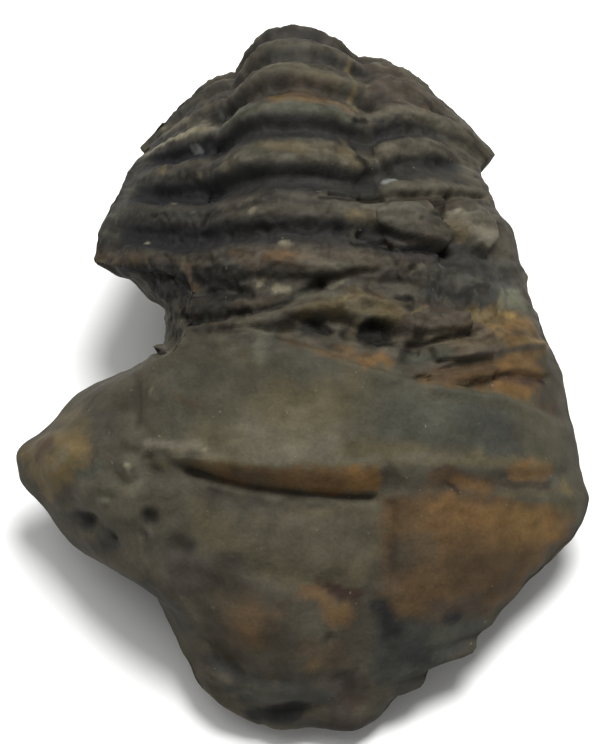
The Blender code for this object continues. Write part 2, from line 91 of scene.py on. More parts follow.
# The axial lobe: its furrows' distance from the midline, and the crest's height over them.
FURROW_LEFT = [
    (0, 1.0), (4, 3.0), (8, 4.8), (13, 7.6), (18, 8.5), (24, 8.7), (28, 6.6), (32, 5.8),
    (36, 5.2), (42, 4.5), (50, 3.5), (58, 3.2), (65, 2.5), (70, 1.2),
]
FURROW_RIGHT = [
    (0, 1.6), (4, 4.2), (8, 5.6), (13, 6.1), (20, 6.3), (24, 6.8), (27, 7.8), (30, 7.3),
    (33, 6.3), (36, 5.4), (42, 5.1), (50, 5.0), (58, 4.2), (65, 2.8), (70, 1.2),
]
CREST_LEFT = [
    (0, 0.3), (4, 0.9), (8, 1.6), (14, 1.9), (20, 1.7), (26, 1.7), (31, 2.4), (35, 3.1),
    (38, 3.5), (42, 3.4), (50, 3.2), (58, 2.9), (65, 2.1), (70, 0.6),
]
CREST_RIGHT = [
    (0, 0.3), (4, 0.9), (8, 1.5), (14, 1.5), (20, 1.1), (26, 1.1), (31, 1.4), (35, 1.7),
    (42, 2.0), (50, 2.0), (58, 2.0), (65, 1.8), (70, 0.6),
]
# How square the lobe is: above 1 its foot is soft, below 1 it stands in a groove.
LOBE_POWER = [(0, 2.0), (10, 1.7), (20, 1.3), (29, 1.1), (35, 1.0), (70, 1.0)]
# How high the pleural lobes bulge, and how steeply they leave the furrow: below 1 they stand in a
# groove beside the lobe, above 1 the cheek runs smoothly out of it.
PLEURAL_CROWN_LEFT = 0.15
PLEURAL_CROWN_RIGHT = 0.2
CROWN_POWER = [(0, 1.6), (24, 1.6), (30, 0.9), (35, 0.75), (70, 0.75)]

# The pleural lobes and cheeks: how far their ends lie below the furrow, how sharply they bend
# down (1 is straight), and how far the ends are swept towards the tail.
DROP_LEFT = [
    (0, 0.4), (4, 1.6), (8, 4.0), (14, 6.3), (20, 7.0), (26, 6.1), (32, 6.3), (38, 6.3), (50, 5.9),
    (60, 4.5), (70, 0.9),
]
DROP_RIGHT = [
    (0, 0.4), (4, 1.6), (8, 4.1), (14, 7.1), (20, 8.0), (26, 7.8), (32, 7.9), (38, 7.6), (50, 7.2),
    (60, 5.5), (70, 0.9),
]
BEND_LEFT = [(0, 1.5), (20, 1.7), (30, 1.4), (50, 1.3), (70, 1.4)]
BEND_RIGHT = [(0, 1.5), (20, 2.0), (30, 1.8), (50, 1.9), (70, 1.5)]
SWEEP_LEFT = [(0, 0), (10, 0.5), (20, 1.0), (30, 2.4), (40, 3.0), (50, 2.8), (60, 1.8), (70, 0)]
SWEEP_RIGHT = [(0, 0), (10, 0.5), (20, 1.0), (30, 1.8), (40, 2.4), (50, 2.4), (60, 1.8), (70, 0)]
SWEEP_BEND = 1.5

# The rock below: where its foot lies under each cross-section, and how far it reaches.
FOOT_Y = [
    (0, -17.9), (5, -14.4), (10, -9.4), (15, -5.0), (20, -1.0), (25, 4.0), (30, 9.0), (35, 13.0),
    (40, 16.5), (45, 19.0), (50, 21.0), (55, 23.0), (60, 25.0), (65, 27.0), (70, 28.8),
]
FOOT_LEFT = [
    (0, 1.6), (5, 4.6), (10, 6.6), (15, 9.6), (20, 11.4), (25, 9.6), (29, 6.8), (32, 6.2),
    (36, 7.0), (42, 7.6), (50, 7.3), (58, 6.4), (65, 4.4), (70, 1.6),
]
FOOT_RIGHT = [
    (0, 3.4), (5, 8.2), (10, 12.0), (15, 14.4), (20, 15.0), (28, 14.2), (36, 12.2), (44, 11.2),
    (52, 10.4), (60, 8.2), (65, 5.8), (70, 2.0),
]
# Over how much of the lobe the foot widens from the midline.
MIDDLE_SHARE = 0.25
# How high the foot stands, how far the underside lies below the resting plane before it is cut
# there, over how much of the underside it sinks, and over how much of the side the rock draws in.
FOOT_RISE, FOOT_DIP = 0.7, 1.5
FOOT_RIM = (0, 0.5)
UNDERCUT = (-0.1, 0.6)

# The thorax: the furrows between its rings on the lobe and on each side, as distances along it.
RING_FURROWS = [
    27.4, 30.9, 34.2, 38.0, 41.9, 45.5, 49.0, 52.3, 55.6, 58.9, 61.9, 64.5, 66.8, 68.8,
]
LEFT_FURROWS = [
    27.4, 31.4, 34.9, 38.6, 42.95, 46.6, 50.1, 53.3, 56.5, 59.4, 62.1, 64.6, 66.8, 68.8,
]
RIGHT_FURROWS = [
    26.7, 30.8, 34.0, 39.3, 42.5, 45.8, 49.2, 52.6, 55.9, 59.0, 61.9, 64.5, 66.8, 68.8,
]
# Where round a cross-section the ribs fade out, and where the lobe's rings give way to the ribs.
RELIEF_END = (1.55, 1.98)
LOBE_EDGE = (0.85, 1.2)
# How much of their height the ribs lose at their ends near the tail, and where along the body.
TAIL_FADE, TAIL_RIBS = 0.5, (50, 56)
# How far the furrows run towards the tail between the lobe's crest and its side.
LOBE_SKEW_LEFT, LOBE_SKEW_RIGHT = 0.6, 0.4
# How far the right furrows run towards the tail between the axial furrow and the edge.
RIGHT_SKEW = [
    (26, -2.2), (30.8, -2.2), (34, -1.2), (37, 0.8), (39.3, 2.0), (42.5, 2.8), (60, 2.0), (70, 0),
]
# The height from one furrow (0) to the next (1), and how much of it there is along the body. A lobe
# ring rises steeply out of its furrow and sinks slowly; a pleural rib is even-sided.
RING_PROFILE = [
    (0.0, -1.0), (0.08, -0.92), (0.2, -0.3), (0.3, 0.0), (0.38, 0.07), (0.5, 0.0), (0.65, -0.2),
    (0.8, -0.45), (0.9, -0.75), (1.0, -1.0),
]
RIB_PROFILE = [
    (0.0, -1.0), (0.12, -0.86), (0.26, -0.32), (0.42, 0.0), (0.52, 0.06), (0.64, 0.0), (0.78, -0.3),
    (0.9, -0.82), (1.0, -1.0),
]
AXIAL_RELIEF = [
    (27, 0.0), (29, 0.5), (35, 0.8), (38, 0.95), (45, 0.9), (50, 0.7), (60, 0.55), (69, 0.2),
]
LEFT_RELIEF = [
    (26.5, 0.0), (28.5, 0.4), (32, 0.6), (35, 0.8), (39, 1.0), (43, 0.9), (46.5, 0.4), (50, 0.3),
    (60, 0.4), (69, 0.2),
]
RIGHT_RELIEF = [
    (26.5, 0.0), (28.5, 0.4), (34, 0.6), (39.5, 0.8), (42.6, 0.8), (45.8, 0.45), (49, 0.25),
    (60, 0.4), (69, 0.2),
]

# Steps in the back: the line of each step's foot as (across, along, run of its face), the height
# of its head side and of its tail side, and how far the surface takes to come back to its form.
# After them stands how much of the step is there, by distance from the midline.
STEPS = [
    # the rear edge of the head
    (([(-9, 26.0, 0.7), (-7.8, 26.0, 0.7), (-6.2, 26.6, 0.7), (-4.4, 27.3, 0.7), (-2.2, 27.5, 0.7),
       (0.3, 26.7, 0.7), (2.8, 25.7, 0.7), (5.9, 24.9, 0.7), (8.8, 24.2, 0.7), (13.6, 23.4, 0.7),
       (18.3, 22.2, 0.7)], 0.45, -0.45, 4.0),
     [(-9, 0.6), (-7, 1.0), (12, 1.0), (16.5, 0.5), (18.5, 0.1)]),
    # the ledge across the head
    (([(-9, 19.6, 0.6), (-6.1, 19.2, 0.6), (-4.0, 18.5, 1.2), (-2.1, 18.0, 1.4), (0.9, 17.5, 1.6),
       (3.4, 17.3, 2.0), (5.3, 17.2, 2.2), (5.9, 17.5, 1.9), (9, 17.8, 1.5), (13.6, 18.1, 1.0),
       (20, 18.5, 0.8)], -1.0, 0.0, 7.0),
     [(-9, 0.0), (-7, 0.35), (-5.6, 1.0), (5.2, 1.0), (6.8, 0.4), (13, 0.35), (17.5, 0.2),
      (19, 0.0)]),
]

# Raised and sunk patches: (along, across), half-lengths along and across, height, and the share of
# the half-length that the slope at its rim takes.
PATCHES = [
    ((19.7, -14.4), (2.4, 2.4), 0.7, 1.0),
    ((19.2, -9.7), (1.2, 1.0), 0.4, 0.9),
    ((18.0, -11.5), (1.1, 1.1), 0.4, 0.9),
    ((15.8, -8.3), (1.1, 0.9), -0.6, 1.0),
    ((13.9, -6.6), (1.1, 1.1), -0.45, 1.0),
    ((15.0, -12.2), (1.4, 2.2), -0.35, 1.0),
    ((17.5, -12.6), (1.3, 1.2), 0.3, 1.0),
    ((8.9, -2.4), (3.0, 4.2), 0.7, 1.0),
    ((3.1, 0.3), (1.0, 3.2), -0.5, 1.0),
    ((1.7, 3.8), (2.2, 3.2), 0.7, 1.0),
]

# Flakes and hollows with broken outlines, as (along, across): height, and how wide their rim is.
PLATES = [
    # the grey flake and the beige one, on the right ribs
    ([(36.2, 4.4), (36.5, 5.6), (37.0, 6.6), (37.0, 8.3), (36.1, 9.4), (35.6, 10.5), (34.8, 11.2),
      (33.7, 11.1), (33.9, 9.2), (34.3, 7.3), (34.8, 6.2), (35.3, 5.2)], 0.3, 0.35),
    ([(36.9, 10.5), (36.4, 11.8), (36.9, 13.1), (36.0, 14.0), (34.5, 14.3), (33.3, 13.2),
      (33.7, 12.4), (34.6, 11.8), (35.8, 11.2)], 0.45, 0.35),
    # the rib broken away behind them
    ([(37.4, 8.9), (37.3, 10.2), (36.5, 11.5), (35.4, 11.5), (35.8, 10.6), (36.3, 9.6)], -0.7, 0.3),
    # the two hollows under the arch
    ([(28.5, 0.7), (28.7, 1.8), (27.8, 2.8), (27.3, 2.4), (27.8, 1.2)], -0.9, 0.5),
    ([(28.3, 3.6), (29.0, 5.6), (28.7, 6.9), (27.0, 7.1), (26.7, 5.5), (27.5, 3.9)], -1.2, 0.7),
    # the broken plates right of them
    ([(29.2, 7.6), (29.3, 11.6), (27.9, 11.9), (27.8, 7.8)], 0.3, 0.3),
    ([(27.2, 8.6), (27.3, 13.0), (26.2, 13.3), (25.9, 9.2)], 0.3, 0.3),
    ([(25.3, 8.2), (25.8, 12.4), (25.8, 13.7), (24.9, 13.4), (24.4, 11.0), (24.2, 9.2)], 0.2, 0.3),
]

# Ridges and cracks: their route as (along, across), height and half-width.
LINES = [
    # the arch, and the dark cleft left of it
    ([(28.4, -0.6), (29.2, 1.0), (29.6, 2.8), (30.0, 4.4), (29.9, 5.8), (29.3, 7.0),
      (28.0, 7.7)], 0.5, 0.5),
    ([(29.2, -6.4), (29.1, -4.5), (29.0, -2.4), (29.1, -1.2), (29.5, -0.2), (30.2, 0.7),
      (31.0, 1.8)], -0.6, 0.35),
    # the hole in the axial furrow
    ([(41.3, 4.8), (40.9, 5.4), (40.2, 6.0), (39.6, 6.9)], -0.6, 0.4),
    # the cheek's crack, and the one beside the grey flake
    ([(24.4, -9.1), (23.3, -9.0), (22.1, -8.9)], -0.25, 0.45),
    ([(37.6, 11.0), (35.5, 10.9), (34.4, 11.4), (32.8, 10.4)], -0.7, 0.4),
    ([(37.3, 5.0), (37.4, 8.0), (37.9, 11.0), (38.6, 13.5)], -0.5, 0.35),
    # under the ledge
    ([(19.0, -5.8), (18.4, -4.0), (17.9, -2.1), (17.4, 0.9), (17.2, 3.4), (17.1, 5.2)],
     -0.55, 0.28),
    # the front's shallow steps, and the furrow behind its rim
    ([(12.6, -2.8), (12.0, 0.8), (11.6, 2.8), (10.9, 4.6)], -0.3, 0.8),
    ([(7.6, -5.0), (6.0, -3.9), (5.3, -2.5), (5.2, -0.6), (5.0, 1.3), (4.9, 3.2)], -0.3, 0.6),
]

# Round a cross-section, where the back's marks fade out, the edge of the back begins, the broken
# rock of the sides begins, and the underside begins.
BACK_END = (1.95, 2.25)
EDGE_START = (1.5, 1.9)
SIDE_START = (1.9, 2.4)
UNDERSIDE_START = (2.2, 2.7)

# Each noise in the stone: its size, its octaves and its seed, which shifts it by SEED_STEP. Marks
# wander by a broad and a fine one, along the body and across it.
LUMP_NOISE = (3.5, 3, 1)
CRUMB_NOISE = (0.9, 3, 3)
FINEST_NOISE = (0.4, 1, 4)
LAYER_NOISE = (2.2, 3, 5)
STREAK_NOISE = (0.7, 3, 9)
BLOTCH_NOISE = (0.8, 3, 12)
WANDER_NOISES = [((1.4, 3, 7), (0.4, 3, 9)), ((1.4, 3, 8), (0.4, 3, 10))]
SEED_STEP = 17.3
# Each octave is twice as fine and half as strong as the one before it.
FINER, WEAKER = 2.0, 1.0

# Lumps of broken rock: their height on the back, on the worn rings and on the sides; and along the
# body, where the worn rings start and end, and where the sides' lumps start.
BACK_LUMPS, WORN_LUMPS, SIDE_LUMPS = 0.22, 0.5, 1.1
WORN = ((25, 27), (33, 36))
SIDE_LUMPS_START = (0, 6)

# The middle of the solid's box, which is the frame's origin.
BOX_MIDDLE = (1.2, 5.5)

# --- The fine surface ---
# How far apart the cross-sections stand, by distance along the body, and how many faces lie round
# them: over the whole axial lobe, and on each side over the pleura, the rock's side and underside.
ROW_STRETCHES = [
    (BODY_START, 16.2, 0.3), (16.2, 20.0, 0.14), (20.0, 25.0, 0.25), (25.0, 38.6, 0.13),
    (38.6, 50.0, 0.16), (50.0, 57.0, 0.25), (57.0, BODY_END, 0.4),
]
AXIAL_FACES, PLEURAL_FACES, SIDE_FACES, UNDER_FACES = 74, 84, 16, 6

# Small pits, chips and knobs that the solid leaves out, as in PATCHES.
SMALL_PATCHES = [
    ((33.8, 6.4), (0.5, 0.5), -0.5, 0.8),
    ((32.2, 7.8), (0.4, 0.5), -0.5, 0.8),
    ((30.1, 7.6), (0.4, 0.4), -0.4, 0.8),
    ((26.6, 7.9), (0.4, 0.4), -0.5, 0.8),
    ((24.9, 8.1), (0.4, 0.4), -0.35, 0.8),
    ((45.6, 5.2), (0.6, 0.5), -0.5, 0.8),
    ((34.6, -1.2), (0.4, 0.7), -0.3, 0.8),
    ((32.0, -6.2), (0.8, 0.4), 0.35, 0.8),
    ((36.2, -8.0), (0.4, 0.3), 0.25, 0.8),
    ((19.3, -9.5), (0.5, 0.5), 0.3, 1.0),
    ((18.0, -10.6), (0.9, 0.8), 0.35, 1.0),
    ((16.9, -11.3), (0.7, 0.7), 0.3, 1.0),
    ((19.4, -7.4), (0.5, 0.6), 0.25, 1.0),
    ((20.4, -6.6), (0.5, 0.7), 0.25, 1.0),
    ((20.2, -5.0), (0.4, 0.5), 0.2, 1.0),
    ((19.9, -8.2), (0.4, 0.5), -0.3, 1.0),
    ((14.7, -8.8), (0.7, 0.5), -0.3, 1.0),
    ((15.5, -12.6), (0.8, 0.8), -0.4, 1.0),
    ((14.2, -11.0), (0.6, 0.6), -0.35, 1.0),
    ((20.4, -15.0), (0.7, 0.8), -0.3, 1.0),
    ((8.1, 2.5), (0.6, 0.5), -0.3, 1.0),
]
# Small ridges and cracks, as in LINES.
SMALL_LINES = [
    ([(31.0, -5.4), (31.1, -4.0), (30.6, -2.2), (30.0, -1.9)], -0.4, 0.25),
    ([(31.0, 1.8), (31.7, 3.8), (32.1, 5.6)], -0.35, 0.22),
    ([(37.1, 2.6), (37.2, 4.4), (37.2, 6.0)], -0.4, 0.2),
    ([(21.0, -9.8), (20.6, -8.4), (20.5, -6.7), (20.3, -4.9)], 0.2, 0.35),
    ([(16.6, 6.2), (14.4, 6.1), (11.8, 5.9), (8.6, 5.8)], -0.2, 0.4),
    ([(28.5, 0.9), (28.6, 2.4), (28.4, 3.8)], -0.5, 0.3),
    ([(28.5, 4.9), (28.5, 5.9), (27.8, 6.8)], -0.5, 0.3),
    ([(34.6, 4.7), (34.2, 5.8), (33.7, 7.2), (33.7, 9.2), (33.9, 11.2)], -0.5, 0.22),
    ([(27.0, 7.5), (27.3, 9.1), (27.6, 10.7), (28.1, 12.6)], -0.4, 0.2),
    ([(25.3, 8.6), (25.9, 10.2), (26.5, 12.0), (27.0, 14.6), (27.4, 17.0)], 0.25, 0.25),
    ([(25.0, 13.2), (25.3, 15.2), (25.3, 17.3)], -0.4, 0.25),
    ([(24.2, 8.8), (23.9, 10.3), (23.6, 12.0), (23.5, 13.7)], 0.15, 0.3),
    ([(5.0, -4.4), (4.7, -1.2), (4.9, 2.4)], 0.25, 0.5),
]

# Where the smooth head gives way to the crumbly thorax, and where the worn rings' grain lies.
CRUMBLY = (25, 29)
WORN_GRAIN = ((26, 28), (33, 37))
# The grain's height everywhere, and how much it adds on the thorax and on the worn rings; how much
# of it is missing at the ribs' ends; and how strong its finest part is.
GRAIN_HEIGHT, CRUMBLY_GRAIN, WORN_GRAIN_HEIGHT = 0.03, 0.08, 0.08
EDGE_SMOOTHING = 0.6
FINEST_SHARE = 0.6
# Flaking layers: how many a noise's height makes, over how much of each its step rises, and how
# high they stand on the thorax, on the worn rings and on the sides.
LAYERS, LAYER_STEP = 3.0, (0.35, 0.65)
CRUMBLY_LAYERS, WORN_LAYERS, SIDE_LAYERS = 0.05, 0.10, 0.07
# Streaks that run along the rings and across the worn rock: how much longer they are than wide, how
# much lighter and darker they make it, how far they stand out, and how clear they are on the head.
STREAK_LENGTH, STREAK_DEPTH, STREAK_RELIEF, HEAD_STREAKS = 3.0, 0.65, 0.07, 0.2

# --- The camera, which looks down on the back from in front of the head ---
VIEW_DOWN = math.radians(58)
VIEW_DISTANCE = 140.0
VIEW_AIM = (0.975, 2.5, 10.0)
VIEW_BACK = np.array([0.0, -math.cos(VIEW_DOWN), math.sin(VIEW_DOWN)])
VIEW_UP = np.array([0.0, math.sin(VIEW_DOWN), math.cos(VIEW_DOWN)])
VIEW_CLIP = (0.005, 10.0)
FRAME_WIDTH, FRAME_HEIGHT = 600, 744
FOCAL_PIXELS = 2154.0
SENSOR = 36.0
# About how many pixels show a millimetre of the back.
PIXELS_PER_MM = 15.4
# A place in the frame shows the nearest point of the form within FINDER_REACH pixels, of those no
# more than FINDER_DEPTH behind the front one. Past the outline, places run on by a millimetre for
# so many pixels down and across.
FINDER_REACH, FINDER_DEPTH = 3.0, 1.0
PAST_EDGE = (12, 10)

# --- Tints, as linear red, green and blue ---
TINTS = {
    "slab": (0.078, 0.069, 0.043),
    "slab grey": (0.064, 0.058, 0.041),
    "slab blue": (0.074, 0.073, 0.056),
    "slab pale": (0.114, 0.096, 0.052),
    "plane": (0.095, 0.083, 0.051),
    "cheek": (0.074, 0.065, 0.046),
    "flake": (0.076, 0.070, 0.055),
    "plum grey": (0.060, 0.054, 0.045),
    "grey": (0.073, 0.067, 0.049),
    "underside": (0.06205, 0.05695, 0.04165),
    "graphite": (0.040, 0.040, 0.036),
    "navy": (0.024, 0.024, 0.025),
    "black": (0.013, 0.012, 0.010),
    "furrow": (0.021, 0.021, 0.022),
    "slate": (0.056, 0.057, 0.050),
    "ice": (0.210, 0.220, 0.205),
    "grey green": (0.074, 0.075, 0.056),
    "sage": (0.143, 0.143, 0.098),
    "pale": (0.119, 0.108, 0.075),
    "cream": (0.212, 0.190, 0.126),
    "beige": (0.152, 0.136, 0.100),
    "olive": (0.104, 0.088, 0.050),
    "sand": (0.090, 0.080, 0.052),
    "taupe": (0.078, 0.069, 0.050),
    "mauve": (0.075, 0.061, 0.045),
    "plum": (0.053, 0.044, 0.037),
    "maroon": (0.046, 0.030, 0.022),
    "umber": (0.049, 0.040, 0.029),
    "brown": (0.075, 0.051, 0.029),
    "rust brown": (0.110, 0.069, 0.034),
    "rust": (0.142, 0.084, 0.037),
    "orange": (0.172, 0.098, 0.037),
    "ochre": (0.180, 0.122, 0.046),
    "tan": (0.142, 0.108, 0.054),
}
